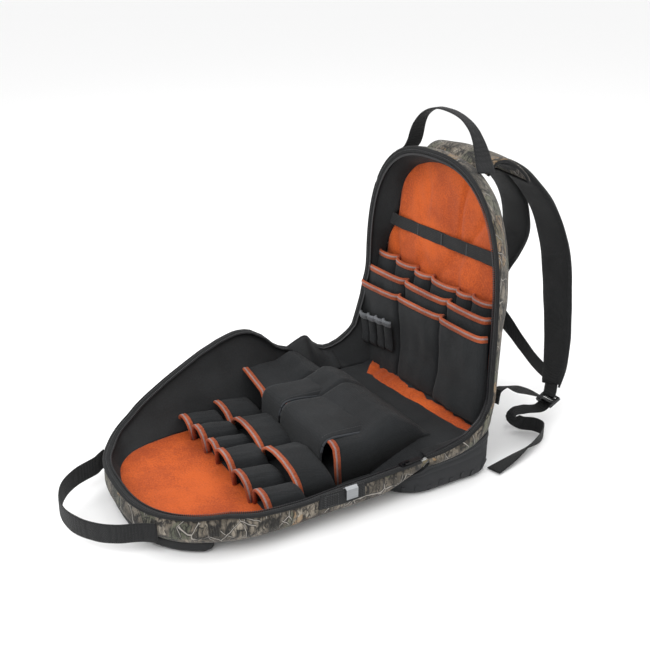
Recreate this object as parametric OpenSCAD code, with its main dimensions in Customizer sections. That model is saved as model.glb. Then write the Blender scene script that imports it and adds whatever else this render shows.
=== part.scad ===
// Hunting tool backpack, unzipped: the back half stands on a moulded base and
// the front half lies open on the floor. Millimetres, +Z up, the front half
// opens towards -Y, the shoulder harness hangs on the +Y side. The origin is
// the centre of the base's underside.

/* [Body] */
// Half width of both halves at the zipper
half_w = 162; // [150:1:175]
// Height of the back half's arch above the floor
arch_z = 450; // [430:1:470]
// Where the back half's zipper edge lies, behind the base centre
rim_y = 77; // [74:1:78]
// Depth of the back half, from zipper edge to back panel
back_d = 41; // [38:1:46]
// Thickness of a padded fabric wall
wall = 3; // [2:0.5:4]

/* [Front half] */
// Length of the front half, hinge to tip
lid_len = 398; // [380:1:405]
// Height of the low wall round the front half
lid_wall_h = 36; // [30:1:38]
// How far the far side of the front half spreads outwards
far_spread = 38; // [30:1:42]
// Height of the tall gusset above the front half's floor
wing_h = 112; // [80:1:120]

/* [Base] */
// Half width of the moulded base
base_hw = 164; // [155:1:168]
// Height of the moulded base at the hinge
base_h = 58; // [54:1:58]
// Number of tread lugs along the long sides
lug_count = 9; // [5:1:12]

/* [Webbing] */
// Width of the handle webbing
handle_w = 26; // [20:1:32]
// Thickness of webbing
web_t = 2; // [1.5:0.5:3]
// Width of the shoulder straps
strap_w = 60; // [50:1:66]
// Thickness of the shoulder straps
strap_t = 11; // [8:1:14]

/* [Hidden] */

camo = "#7d715f";
black = "#2b2d2e";
orange = "#d8692c";
rubber = "#3a3c3e";
steel = "#c9ccce";

arch_n = 2.6;           // roundness of both arches
arch_start_z = 230;     // the side walls are straight below this height
arch_steps = 12;
hinge_y = -30;
hinge_z = 58;
rim_z = 56;             // top of the front half's low wall
lid_floor = rim_z - lid_wall_h;
tip_y = hinge_y - lid_len;
bend_y = -230;          // the front half's sides are straight on the hinge side of this
ramp_y = -96;           // the front half's floor climbs over the base from here
far_flare = 26;         // the back half's far side spreads at the bottom
back_y = rim_y + back_d;
pad_t = 11;
gap = 0.3;              // clearance between bodies and between sewn layers

// ---------- helpers ----------

// Height fraction s of an arch, 0 where it springs and 1 at the tip, to width fraction.
function arch_x(s) = pow(max(0, 1 - pow(s, arch_n)), 1 / arch_n);
function ease(t) = let (u = max(0, min(1, t))) u * u * (3 - 2 * u);
function flare(z) = far_flare * (1 - ease((z - 90) / 150));
function spread(y) = far_spread * ease((y + 345) / 165);

// Outline of the back half in X and Z, inset by a wall.
function back_outline(i = 0, z0 = hinge_z) = concat(
    [[half_w - i, z0], [half_w - i, arch_start_z]],
    [for (k = [1:arch_steps]) let (s = sin(90 * k / arch_steps))
        [(half_w - i) * arch_x(s), arch_start_z + (arch_z - i - arch_start_z) * s]],
    [for (k = [arch_steps - 1:-1:1]) let (s = sin(90 * k / arch_steps))
        [-(half_w - i) * arch_x(s), arch_start_z + (arch_z - i - arch_start_z) * s]],
    [for (z = [arch_start_z:-35:z0 + 20]) [-(half_w - i) - flare(z), z]],
    [[-(half_w - i) - flare(z0), z0]]
);

// Outline of the front half in X and Y, inset by a wall.
function lid_outline(i = 0, y0 = ramp_y) = concat(
    [[half_w - i, y0], [half_w - i, bend_y]],
    [for (k = [1:arch_steps]) let (s = sin(90 * k / arch_steps))
        [(half_w - i) * arch_x(s), bend_y + (tip_y + i - bend_y) * s]],
    [for (k = [arch_steps - 1:-1:1]) let (s = sin(90 * k / arch_steps),
            y = bend_y + (tip_y + i - bend_y) * s)
        [-(half_w - i) * arch_x(s) - spread(y), y]],
    [for (y = [bend_y:22:y0 - 10]) [-(half_w - i) - spread(y), y]],
    [[-(half_w - i) - spread(y0), y0]]
);

// A profile in Y and Z, swept along X from x0 to x1.
module along_x(x0, x1) {
    translate([x0, 0, 0]) rotate([90, 0, 90]) linear_extrude(x1 - x0) children();
}

// A profile in X and Z, swept along Y from y0 to y1.
module along_y(y0, y1) {
    translate([0, y1, 0]) rotate([90, 0, 0]) linear_extrude(y1 - y0) children();
}

// Arched section of a sewn pocket between a and b, standing h high, with chamfered shoulders.
module arch_section(a, b, h, t) {
    c = min(12, (b - a) * 0.28);
    difference() {
        polygon([[a, 0], [a, h * 0.55], [a + c, h], [b - c, h], [b, h * 0.55], [b, 0]]);
        polygon([[a + t, -1], [a + t, h * 0.55 - t * 0.4], [a + c + t * 0.4, h - t],
                 [b - c - t * 0.4, h - t], [b - t, h * 0.55 - t * 0.4], [b - t, -1]]);
    }
}

module arch_solid(a, b, h) {
    c = min(12, (b - a) * 0.28);
    polygon([[a, 0], [a, h * 0.55], [a + c, h], [b - c, h], [b, h * 0.55], [b, 0]]);
}

// Pocket on the back half: mouth up at z1, its open side against y = yb.
module standing_pocket(a, b, yb, depth, z0, z1, t = 2) {
    translate([0, yb, z0]) mirror([0, 1, 0]) {
        linear_extrude(z1 - z0) arch_section(a, b, depth, t);
        linear_extrude(t) arch_solid(a, b, depth);
    }
}

// Pocket on the front half: mouth towards -Y at y0, its open side down on z0.
module lying_pocket(a, b, y0, y1, z0, h, t = 2) {
    translate([0, 0, z0]) {
        along_y(y0, y1) arch_section(a, b, h, t);
        along_y(y1 - t, y1) arch_solid(a, b, h);
    }
}

function unit(v) = v / norm(v);
function tangent(p, i) = unit(p[min(i + 1, len(p) - 1)] - p[max(i - 1, 0)]);
function ring(p, d, w, t, i) =
    let (g = tangent(p, i), a = unit(d[i] - (d[i] * g) * g), n = cross(g, a))
    [p[i] - a * w / 2 - n * t / 2, p[i] + a * w / 2 - n * t / 2,
     p[i] + a * w / 2 + n * t / 2, p[i] - a * w / 2 + n * t / 2];

// Catmull-Rom points through p, with k steps a span.
function spline(p, k = 3) = concat(
    [for (i = [0:len(p) - 2], j = [0:k - 1])
        let (a = p[max(i - 1, 0)], b = p[i], c = p[i + 1], e = p[min(i + 2, len(p) - 1)], u = j / k)
        0.5 * (2 * b + (c - a) * u + (2 * a - 5 * b + 4 * c - e) * u * u
               + (3 * b - a - 3 * c + e) * u * u * u)],
    [p[len(p) - 1]]
);

// Flat band along p; d gives the direction of its width at each point, ws its width there.
module band(p, d, ws, t) {
    n = len(p);
    points = [for (i = [0:n - 1]) each ring(p, d, is_list(ws) ? ws[i] : ws, t, i)];
    sides = [for (i = [0:n - 2], k = [0:3])
        let (a = 4 * i + k, b = 4 * i + (k + 1) % 4) each [[a, b, b + 4], [a, b + 4, a + 4]]];
    caps = [[0, 2, 1], [0, 3, 2], [4 * n - 4, 4 * n - 3, 4 * n - 2], [4 * n - 4, 4 * n - 2, 4 * n - 1]];
    polyhedron(points, [for (f = concat(sides, caps)) [f[2], f[1], f[0]]], convexity = 6);
}

// ---------- moulded base ----------

base_front = -84;
base_back = 96;
base_corner = 62;

module base_foot(i) {
    w = base_hw - i;
    hull() {
        for (sx = [-1, 1]) {
            translate([sx * (w - base_corner), base_front + base_corner + i])
                circle(base_corner, $fn = 32);
            translate([sx * (w - 34), base_back - 34 - i]) circle(34, $fn = 32);
        }
    }
}

// The block the base is cut from, i mm inside its surface.
module base_block(i) {
    intersection() {
        union() {
            translate([0, 0, i]) linear_extrude(9) base_foot(9 + i);
            translate([0, 0, 8]) linear_extrude(base_h) base_foot(2 + i);
        }
        along_x(-base_hw, base_hw) polygon([
            [base_front, i], [base_front, 20 - i], [-34, 44 - i], [hinge_y + 4 + i, base_h - i],
            [base_back - i, base_h - i], [base_back - i, i]
        ]);
    }
}

base_wall = 3;
module molded_base() {
    color(rubber) difference() {
        base_block(0);
        base_block(base_wall);
    }
}

module base_core() {
    color("white") base_block(base_wall + gap);
}

module base_treads() {
    lug_h = 24;
    color(rubber) for (sx = [-1, 1], k = [0:lug_count - 1]) {
        y = -18 + 76 * k / (lug_count - 1);
        translate([sx * (base_hw - 1) - 1, y - 2.4, 10 + (k % 2) * 4]) cube([2, 4.8, lug_h]);
    }
}

// ---------- back half ----------

near_sill = [[-26, hinge_z], [-26, 61], [30, 70], [56, 84], [70, 106], [rim_y + 1, 140],
             [rim_y + 1, hinge_z]];
far_sill = [[-26, hinge_z], [-32, 100], [-28, 112], [-4, 90], [20, 94], [52, 122],
            [rim_y + 1, 150], [rim_y + 1, hinge_z]];

module back_shell() {
    color(camo) {
        along_y(rim_y, back_y) difference() {
            polygon(back_outline());
            polygon(back_outline(wall, hinge_z - 1));
        }
        along_y(back_y - wall, back_y) polygon(back_outline(0.5, hinge_z));
        along_x(half_w - wall, half_w) polygon(near_sill);
        along_x(-half_w - far_flare, -half_w - far_flare + wall) polygon(far_sill);
    }
}

module back_stiffener() {
    color("white") along_y(back_y, back_y + 1.5) polygon(back_outline(14, 80));
}

module back_pad() {
    y0 = back_y + 1.5;
    color(black) {
        along_y(y0, y0 + pad_t) polygon([for (p = back_outline(10, 76)) [p[0], p[1]]]);
    }
}

module back_lining() {
    color(orange) along_y(back_y - wall - 2, back_y - wall)
        polygon(back_outline(wall + 0.5, hinge_z + 4));
}

module floor_liner() {
    color(orange) along_x(-half_w - 18, half_w - wall - 1)
        polygon([[-14, hinge_z], [-14, hinge_z + 2], [back_y - wall - 3, hinge_z + 3.5],
                 [back_y - wall - 3, hinge_z]]);
}

lining_y = back_y - wall - 2;   // the face the back pockets are sewn to
tier_d = [15, 14, 13];          // how far each pocket tier stands out of the one behind

module elastic_band() {
    color(black) translate([-138, lining_y - 1.6, 304]) cube([276, 1.6, 25]);
}

// X edges of the six tubes, the three middle and the three low pockets of the back half.
back_tube_x = [-154, -102, -50, -4, 54, 92, 138];
back_mid_x = [-158, -56, 44, 150];
back_low_x = [-157, -52, 36, 154];

module back_tubes() {
    color(black) for (k = [0:5])
        standing_pocket(back_tube_x[k] + gap, back_tube_x[k + 1] - gap,
                        lining_y, tier_d[0], 168, 254 + (k % 2) * 2);
}

module back_mid_pockets() {
    yb = lining_y - tier_d[0] - gap;
    color(black) for (k = [0:2])
        standing_pocket(back_mid_x[k] + gap, back_mid_x[k + 1] - gap, yb, tier_d[1], 118, 232);
}

module back_low_pockets() {
    yb = lining_y - tier_d[0] - tier_d[1] - 2 * gap;
    color(black) for (k = [0:2])
        standing_pocket(back_low_x[k] + gap, back_low_x[k + 1] - gap, yb, tier_d[2], 66, 203);
}

module pen_sleeves() {
    y = lining_y - tier_d[0] - tier_d[1] - tier_d[2] - 2 * gap;
    color(black) for (k = [0:3]) translate([-147 + 21 * k, y - 3, 96]) cube([19, 3, 54]);
}

module zipper_back() {
    color(black) along_y(rim_y - 2.5, rim_y) difference() {
        polygon(back_outline(0, 150));
        polygon(back_outline(8, 149));
    }
}

module top_handle_patches() {
    color(black) for (sx = [-1, 1]) {
        translate([sx * 92 - 10, rim_y + 15, 0]) intersection() {
            cube([20, handle_w, 600]);
            translate([-sx * 92 + 10, 0, 0]) rotate([-90, 0, 0]) mirror([0, 1, 0])
                linear_extrude(handle_w) difference() {
                    polygon(back_outline(-web_t, 400));
                    polygon(back_outline(-0.05, 399));
                }
        }
        translate([sx * 83.5 - 1.2, rim_y + 18, 435.5]) cube([2.4, handle_w - 6, 22]);
    }
}

anchor_x = 138;
module strap_anchors() {
    y0 = back_y + 1.5 + pad_t;
    color(black) for (sx = [-1, 1]) translate([sx * anchor_x - 14, y0, 92]) cube([28, web_t, 34]);
}

// ---------- front half ----------

ramp = [[ramp_y, lid_floor], [-36, 46], [-36, 50], [ramp_y, lid_floor + 4]];
far_x = -half_w - spread(ramp_y);

module lid_shell() {
    color(camo) {
        translate([0, 0, lid_floor]) linear_extrude(4) polygon(lid_outline());
        translate([0, 0, lid_floor]) linear_extrude(lid_wall_h) difference() {
            polygon(lid_outline());
            polygon(lid_outline(wall, ramp_y + 1));
        }
        along_x(far_x, half_w) polygon(ramp);
        for (x = [far_x, half_w - wall]) along_x(x, x + wall)
            polygon([[ramp_y, lid_floor], [-36, 46], [-36, rim_z], [ramp_y, rim_z]]);
    }
}

// Tall gusset that stands outside the far wall.
wing_top = [for (y = [-356:12:-62]) let (u = (y + 356) / 294)
    [y, rim_z - 8 + (wing_h - lid_wall_h + 12) * pow(sin(180 * pow(u, 1.25)), 0.8)]];

module lid_wing() {
    x = far_x - gap - 2.5;
    color(black) intersection() {
        along_x(x, x + 2.5) polygon(concat([[-356, lid_floor + 6]], wing_top, [[-62, lid_floor + 24]]));
        along_x(x - 1, x + 4) polygon([[-356, lid_floor + 6], [-356, 300], [-60, 300], [-60, 42],
                                       [ramp_y, lid_floor + 6]]);
    }
}

module lid_lining() {
    color(orange) translate([0, 0, lid_floor + 4]) linear_extrude(2)
        polygon(lid_outline(wall + 0.5, ramp_y - 2));
}

module lid_stiffener() {
    color("white") translate([0, 0, lid_floor - 1.5]) linear_extrude(1.5)
        polygon(lid_outline(18, ramp_y - 8));
}

module hinge_web() {
    color(black) along_x(far_x + 8, half_w - wall - 1)
        polygon([[-60, 40.2], [-36, 50.6], [-34, 53], [-36, 53.4], [-60, 42.6]]);
}

lining_z = lid_floor + 6;       // the face the front half's pockets are sewn to
lid_tube_x = [-148, -102, -57, -21, 36, 92, 138];
lid_mid_x = [-168, -95, 11, 122];

module lid_tubes() {
    color(black) for (k = [0:5])
        lying_pocket(lid_tube_x[k] + gap, lid_tube_x[k + 1] - gap, -283 - (k % 2) * 3, -228,
                     lining_z, 31 + (k % 2) * 2);
}

module lid_mid_pockets() {
    color(black) for (k = [0:2])
        lying_pocket(lid_mid_x[k] + gap, lid_mid_x[k + 1] - gap, -218, -164, lining_z, 38);
}

// A large pocket: an arched shell whose foot follows the climbing floor.
big_y0 = -150;
big_y1 = -52;
module big_pocket(a, b, h) {
    color(black) difference() {
        lying_pocket(a, b, big_y0, big_y1, lining_z, h, 2.5);
        along_x(a - 1, b + 1) polygon([[ramp_y - 5, lining_z - 1], [ramp_y - 5, lid_floor + 6.2],
                                       [-36, 53.6], [-36, 20]]);
    }
}

// Left edge, right edge and height of each large pocket, and the X edges of the two flaps.
far_pocket = [-178, -100, 66];
mid_pocket = [-97, -34, 58];
near_pocket = [-30, 112, 56];
mid_flap = [-93, -44];
near_flap = [-27, 83];

flap_t = 3;
flap_len = 74;

// Fixed part of a closing flap: it rises from the floor in front of the mouth.
module flap_riser(x, h) {
    z1 = lining_z + h + gap;
    color(black) along_x(x[0] + 3, x[1] - 3)
        polygon([[big_y0 - gap - flap_t, lining_z], [big_y0 - gap - flap_t, z1 - 4],
                 [big_y0 - gap, z1 - 4], [big_y0 - gap, lining_z]]);
}

// Moving part of a closing flap: it lies on the pocket and lifts about its front edge.
module flap(x, h) {
    z0 = lining_z + h + 2 * gap;
    color(black) translate([0, 0, z0]) linear_extrude(flap_t) difference() {
        translate([x[0], big_y0]) square([x[1] - x[0], flap_len]);
        for (end = x) translate([end, big_y0 + flap_len]) rotate(45) square(16, center = true);
    }
}

module zipper_lid() {
    color(black) translate([0, 0, rim_z]) linear_extrude(2.5) difference() {
        polygon(lid_outline(0, -44));
        polygon(lid_outline(7, -43));
    }
}

// Moulded pocket under the tip, which the open front half rests on.
module glasses_outline(i) {
    intersection() {
        polygon(lid_outline(8 + i, -240));
        hull() for (sx = [-1, 1], y = [-430, -366]) translate([sx * 108, y]) circle(34 - i, $fn = 32);
    }
}

module glasses_pocket() {
    color(rubber) difference() {
        union() {
            linear_extrude(6) glasses_outline(8);
            translate([0, 0, 6]) linear_extrude(lid_floor - 7.5) glasses_outline(0);
        }
        translate([0, 0, 3]) linear_extrude(lid_floor) glasses_outline(11);
    }
}

clip_y = -156;
module clip_tab() {
    color(black) translate([half_w, clip_y - 28, 34]) cube([2, 48, 21]);
}

module clip_rivet() {
    color(steel) translate([half_w + 2, clip_y, 50]) rotate([0, 90, 0]) cylinder(h = 4, r = 2, $fn = 32);
}

module tape_clip() {
    x = half_w + 2.4;
    color(steel) difference() {
        union() {
            translate([x, clip_y - 11, 36]) cube([1.4, 22, 22]);
            along_y(clip_y - 9, clip_y + 9)
                polygon([[x + 1.4, 58], [x + 5.4, 56], [x + 5.4, 42], [x + 6.6, 42],
                         [x + 6.6, 57], [x + 1.4, 59.4], [x + 1.2, 59.4], [x + 1.2, 58]]);
        }
        translate([x - 1, clip_y, 50]) rotate([0, 90, 0]) cylinder(h = 3.2, r = 2.05, $fn = 32);
    }
}

module lid_handle_patches() {
    color(black) for (sx = [-1, 1]) {
        translate([sx * 97 - 10, tip_y - 20, lid_floor + 3]) intersection() {
            cube([20, 60, handle_w]);
            translate([-sx * 97 + 10, 20 - tip_y, 0]) linear_extrude(handle_w) difference() {
                polygon(lid_outline(-web_t, -300));
                polygon(lid_outline(-0.05, -299));
            }
        }
        translate([sx * 89.5 - 1.2, lid_handle_y - 20, lid_floor + 6])
            cube([2.4, sx > 0 ? 16.6 : 14.6, handle_w - 6]);
    }
}

// ---------- handles ----------

// A loop of webbing: half a superellipse, half_span wide and rise high.
module handle_loop(half_span, rise, t) {
    steps = 14;
    outer = [for (k = [0:steps]) let (a = 180 * k / steps)
        [half_span * sign(cos(a)) * pow(abs(cos(a)), 0.75), rise * pow(sin(a), 0.8)]];
    inner = [for (k = [steps:-1:0]) let (a = 180 * k / steps)
        [(half_span - t) * sign(cos(a)) * pow(abs(cos(a)), 0.75), (rise - t) * pow(sin(a), 0.8)]];
    polygon(concat(outer, inner));
}

top_handle_y = rim_y + 28;
top_handle_z = 440;
module top_handle() {
    color(black) translate([0, 0, top_handle_z + 13])
        along_y(top_handle_y - handle_w / 2, top_handle_y + handle_w / 2) handle_loop(82, 54, web_t + 0.5);
}

lid_handle_y = tip_y + 14;
module lid_handle() {
    color(black) translate([0, lid_handle_y - 16, lid_floor + 3]) linear_extrude(handle_w)
        mirror([0, 1, 0]) handle_loop(88, 70, web_t + 0.5);
}

// ---------- harness ----------

yoke_y = back_y + 1.5 + pad_t;  // back of the pad, where the yoke is sewn on
// Centre lines of the shoulder straps, with the width beside them: x, y, z, width.
right_route = [
    [31, yoke_y + 27, 436, 50], [32, 182, 430, 56], [32, 212, 410, 58], [32, 248, 376, 59],
    [35, 273, 338, 60], [43, 289, 290, 60], [53, 292, 240, 60], [64, 290, 188, 57],
    [76, 284, 142, 52], [89, 272, 106, 44], [99, 258, 78, 34]
];
left_route = [
    [-31, yoke_y + 27, 436, 50], [-32, 182, 430, 56], [-32, 212, 410, 58], [-32, 248, 376, 59],
    [-35, 272, 338, 60], [-46, 287, 292, 60], [-58, 282, 256, 60], [-66, 268, 222, 60],
    [-72, 260, 185, 57], [-80, 259, 142, 52], [-91, 258, 106, 44], [-99, 256, 78, 34]
];

module strap_pad(strap_route) {
    route = spline(strap_route, 2);
    color(black) band([for (p = route) [p[0], p[1], p[2]]], [for (p = route) [1, 0, 0]],
                      [for (p = route) p[3] * strap_w / 60], strap_t);
}

module strap_yoke() {
    color(camo) along_x(-70, 70)
        polygon([[yoke_y + gap, 432], [yoke_y + 20, 436], [yoke_y + 21, 446], [yoke_y + gap, 446]]);
}

chest_route = [[-60, 271, 150], [-38, 290, 114], [-8, 297, 88], [22, 298, 72], [52, 292, 69]];
module chest_strap() {
    route = spline(chest_route, 2);
    color(black) band(route, [for (p = route) [0, 0.35, 1]], 20, web_t);
}

lock_y = 250;
lock_z = 56;
lock_x = 104;
module ladder_lock(s) {
    color(rubber) translate([s * lock_x, lock_y, lock_z]) rotate([28, 0, 0]) difference() {
        translate([-16, -12, -3]) cube([32, 22, 5]);
        for (y = [-8, -1, 6]) translate([-12.5, y - 1.3, -4]) cube([25, 3.4, 7]);
    }
}

lower_route = [[137, yoke_y + 9, 112], [133, 157, 112], [126, 178, 103],
               [117, 206, 84], [110, 231, 65]];
module lower_web(s) {
    route = spline(lower_route, 2);
    color(black) band([for (p = route) [s * p[0], p[1], p[2]]],
                      [for (p = route) [s * 0.8, 0, 0.6]], 24, web_t);
}

// Free end of the adjusting webbing: it leaves the buckle, curls down and lies on edge.
tail_route = [
    [103, 232, 43], [92, 213, 41], [82, 202, 35], [80, 200, 24], [88, 212, 15], [101, 228, 13.5],
    [119, 230, 13.5], [134, 213, 13.5], [142, 193, 13], [149, 162, 10.5], [157, 128, 6.5], [164, 94, 3.5]
];
tail_dir = [
    [1, 0, 0], [1, 0, 0.1], [0.9, 0, 0.4], [0.7, 0.2, 0.6], [0.4, 0, 1], [0.2, 0, 1],
    [0, 0, 1], [0.1, 0, 1], [0.4, 0.15, 1], [0.8, 0.3, 0.7], [0.9, 0.35, 0.3], [0.9, 0.35, 0.06]
];
module web_tail(s) {
    color(black) band([for (p = spline(tail_route, 2)) [s * p[0], p[1], p[2]]],
                      [for (d = spline(tail_dir, 2)) [s * d[0], d[1], d[2]]], 24, web_t);
}

// ---------- closures ----------

slider_y = -64;
module slider(x) {
    color(steel) translate([x, slider_y, rim_z + 2.5 + gap]) {
        translate([-5, -7, 0]) cube([10, 14, 2]);
        for (y = [-4.5, 3]) translate([-1.5, y, 1]) cube([3, 1.5, 4]);
        translate([-1.5, -4.5, 4.4]) cube([3, 9, 1.2]);
    }
}

// The pull's axle passes through the slider's bridge, and its two arms carry the tab.
module pull(x) {
    color(black) translate([x, slider_y, rim_z + 2.5 + gap + 3.2]) {
        rotate([0, 90, 0]) cylinder(h = 9, r = 0.8, center = true, $fn = 24);
        for (sx = [-1, 1]) translate([sx * 3.75 - 0.75, 0, -0.8]) cube([1.5, 8, 1.6]);
        translate([-4.5, 7.2, -0.8]) cube([9, 20, 1.6]);
    }
}

near_slider_x = half_w - 3.5;
far_slider_x = far_x + 6.3;

// ---------- scene ----------

molded_base();
base_core();
base_treads();
back_shell();
back_pad();
back_stiffener();
back_lining();
floor_liner();
elastic_band();
back_tubes();
back_mid_pockets();
back_low_pockets();
pen_sleeves();
zipper_back();
top_handle_patches();
strap_anchors();
lid_shell();
lid_wing();
lid_lining();
lid_stiffener();
hinge_web();
lid_tubes();
lid_mid_pockets();
big_pocket(far_pocket[0], far_pocket[1], far_pocket[2]);  // big_pocket_far
big_pocket(mid_pocket[0], mid_pocket[1], mid_pocket[2]);  // big_pocket_mid
big_pocket(near_pocket[0], near_pocket[1], near_pocket[2]);  // big_pocket_near
flap_riser(mid_flap, mid_pocket[2]);  // flap_riser_mid
flap_riser(near_flap, near_pocket[2]);  // flap_riser_near
zipper_lid();
glasses_pocket();
clip_tab();
lid_handle_patches();
flap(mid_flap, mid_pocket[2]);  // flap_mid
flap(near_flap, near_pocket[2]);  // flap_near
top_handle();
lid_handle();
strap_yoke();
strap_pad(right_route);  // strap_pad_right
strap_pad(left_route);  // strap_pad_left
chest_strap();
ladder_lock(1);  // ladder_lock_right
ladder_lock(-1);  // ladder_lock_left
lower_web(1);  // lower_web_right
lower_web(-1);  // lower_web_left
web_tail(1);  // web_tail_right
web_tail(-1);  // web_tail_left
tape_clip();
clip_rivet();
slider(near_slider_x);  // slider_right
slider(far_slider_x);  // slider_left
pull(near_slider_x);  // pull_right
pull(far_slider_x);  // pull_left
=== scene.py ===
# Looks of a hunting tool backpack lying open: an arched back half standing on a moulded boot,
# and a front half full of sewn pockets lying on the floor. Lengths below are millimetres in
# the model's frame; mesh_piece() turns them into metres.
import math

import bpy
import numpy as np
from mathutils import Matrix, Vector, noise


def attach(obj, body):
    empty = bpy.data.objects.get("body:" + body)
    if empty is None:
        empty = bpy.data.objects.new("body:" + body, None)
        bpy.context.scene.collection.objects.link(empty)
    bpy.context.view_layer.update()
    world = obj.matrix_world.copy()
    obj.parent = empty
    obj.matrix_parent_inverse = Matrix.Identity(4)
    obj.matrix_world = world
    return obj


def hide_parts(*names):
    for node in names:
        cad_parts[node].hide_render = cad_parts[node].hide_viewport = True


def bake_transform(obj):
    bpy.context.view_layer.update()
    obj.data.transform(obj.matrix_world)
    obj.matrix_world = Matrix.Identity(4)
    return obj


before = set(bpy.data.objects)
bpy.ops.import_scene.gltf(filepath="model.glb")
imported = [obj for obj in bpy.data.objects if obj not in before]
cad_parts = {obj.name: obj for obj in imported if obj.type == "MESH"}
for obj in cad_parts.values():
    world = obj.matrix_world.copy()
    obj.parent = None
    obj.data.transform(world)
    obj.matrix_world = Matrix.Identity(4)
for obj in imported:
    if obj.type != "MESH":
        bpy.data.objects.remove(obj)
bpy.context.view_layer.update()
scene = bpy.context.scene


# ---------------------------------------------------------------- camera

CAMERA_AZ, CAMERA_EL = math.radians(60), math.radians(23)
CAMERA_POS = Vector((1.0439, -0.7023, 0.730))
camera_data = bpy.data.cameras.new("camera")
camera_data.lens = 50.57
camera_data.sensor_width = 36.0
camera = bpy.data.objects.new("camera", camera_data)
scene.collection.objects.link(camera)
camera.location = CAMERA_POS
look = Vector((-math.sin(CAMERA_AZ) * math.cos(CAMERA_EL),
               math.cos(CAMERA_AZ) * math.cos(CAMERA_EL), -math.sin(CAMERA_EL)))
camera.rotation_euler = look.to_track_quat("-Z", "Y").to_euler()
scene.camera = camera


# ---------------------------------------------------------------- small maths

def ease(t):
    t = np.clip(t, 0.0, 1.0)
    return t * t * (3 - 2 * t)


def arch(s, n=2.6):
    """Width fraction of an arch at height fraction s."""
    return max(0.0, 1 - s ** n) ** (1 / n)


def along(x, *points):
    """Linear interpolation through (x, value) points, in rising x."""
    xs, ys = zip(*points)
    return float(np.interp(x, xs, ys))


def spline(points, count):
    """count points spread evenly along a Catmull-Rom curve through the given points."""
    p = np.array(points, float)
    ext = np.vstack([2 * p[0] - p[1], p, 2 * p[-1] - p[-2]])
    out = []
    for i in range(len(p) - 1):
        a, b, c, d = ext[i:i + 4]
        for u in np.linspace(0, 1, 16, endpoint=False):
            out.append(0.5 * (2 * b + (c - a) * u + (2 * a - 5 * b + 4 * c - d) * u * u
                              + (3 * b - a - 3 * c + d) * u ** 3))
    out.append(p[-1])
    out = np.array(out)
    run = np.concatenate([[0], np.cumsum(np.linalg.norm(np.diff(out[:, :3], axis=0), axis=1))])
    at = np.linspace(0, run[-1], count)
    return np.stack([np.interp(at, run, out[:, k]) for k in range(out.shape[1])], 1)


def wobble(points, size, seed=0.0):
    """Smooth noise from -1 to 1 at each point, with features about size mm across."""
    flat = points.reshape(-1, 3)
    off = Vector((seed * 7.13, seed * 3.71, seed * 5.37))
    values = [noise.noise(Vector(p) / size + off) for p in flat]
    return np.array(values).reshape(points.shape[:-1])


def unit(v):
    return v / np.maximum(np.linalg.norm(v, axis=-1, keepdims=True), 1e-9)


def surface_normals(grid):
    du = np.gradient(grid, axis=0)
    dv = np.gradient(grid, axis=1)
    return unit(np.cross(du, dv))


def crumple(grid, *layers):
    """Moves a grid along its own normals by (size, amount) layers of noise."""
    n = surface_normals(grid)
    for k, (size, amount) in enumerate(layers):
        grid = grid + n * (wobble(grid, size, k + 1.0) * amount)[..., None]
    return grid


# ---------------------------------------------------------------- pieces

jobs = []


def mesh_piece(name, verts, faces, mats, index=None, body=None, blend=None, node=(), slot=None,
               thick=0.0, offset=-1.0, outer=None, pad=None, smooth=True):
    """A mesh from millimetre vertices. Its modifiers are applied at the end, and then it is attached to its
    body, or, if it has a blend, its transform is baked in.
    """
    mats = mats if isinstance(mats, (list, tuple)) else [mats]
    me = bpy.data.meshes.new(name)
    me.from_pydata([tuple(float(c) * 0.001 for c in v) for v in verts], [], faces)
    for m in mats:
        me.materials.append(m)
    if index is not None:
        me.polygons.foreach_set("material_index", np.asarray(index, np.int32))
    me.polygons.foreach_set("use_smooth", [smooth] * len(me.polygons))
    me.validate()
    ob = bpy.data.objects.new(name, me)
    scene.collection.objects.link(ob)
    if thick:
        mod = ob.modifiers.new("thick", "SOLIDIFY")
        mod.thickness = thick * 0.001
        mod.offset = offset
        mod.use_even_offset = False
        if outer is not None:
            mod.material_offset = outer
    jobs.append((ob, body, blend, (node,) if isinstance(node, str) else tuple(node), slot, pad))
    return ob


def grid_piece(name, grid, mats, row_index=None, close_u=False, close_v=False, caps=False, **kw):
    """A sheet or tube from an (n, m, 3) grid of millimetre points. close_v joins each row's ends."""
    n, m = grid.shape[:2]
    faces, index = [], []
    for i in range(n if close_u else n - 1):
        for j in range(m if close_v else m - 1):
            a, b = i * m + j, i * m + (j + 1) % m
            c, d = ((i + 1) % n) * m + (j + 1) % m, ((i + 1) % n) * m + j
            faces.append((a, b, c, d))
            index.append(0 if row_index is None else row_index(i, j))
    if caps:
        faces.append(tuple(range(m))[::-1])
        faces.append(tuple(range((n - 1) * m, n * m)))
        index += [index[0], index[-1]]
    return mesh_piece(name, grid.reshape(-1, 3), faces, mats, index, **kw)


def frames(path, across):
    """Unit vectors along a path, across it, and out of its flat side."""
    t = unit(np.gradient(path, axis=0))
    w = unit(across - (across * t).sum(1, keepdims=True) * t)
    return t, w, np.cross(w, t)


def strap_rings(path, across, width, thick, sides=16, square=0.35, crown=0.0):
    """Rings of a flat strap: rounded rectangles, width along across, thick along the normal."""
    path = np.asarray(path, float)
    _, w, n = frames(path, np.asarray(across, float))
    width = np.broadcast_to(np.asarray(width, float), (len(path),))
    thick = np.broadcast_to(np.asarray(thick, float), (len(path),))
    rings = []
    for k in range(sides):
        a = 2 * math.pi * (k + 0.5) / sides
        ca, sa = math.cos(a), math.sin(a)
        u = math.copysign(abs(ca) ** square, ca)
        v = math.copysign(abs(sa) ** square, sa) * (1 + crown * (1 - u * u))
        rings.append(path + w * (u * width / 2)[:, None] + n * (v * thick / 2)[:, None])
    return np.stack(rings, 1)


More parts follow.
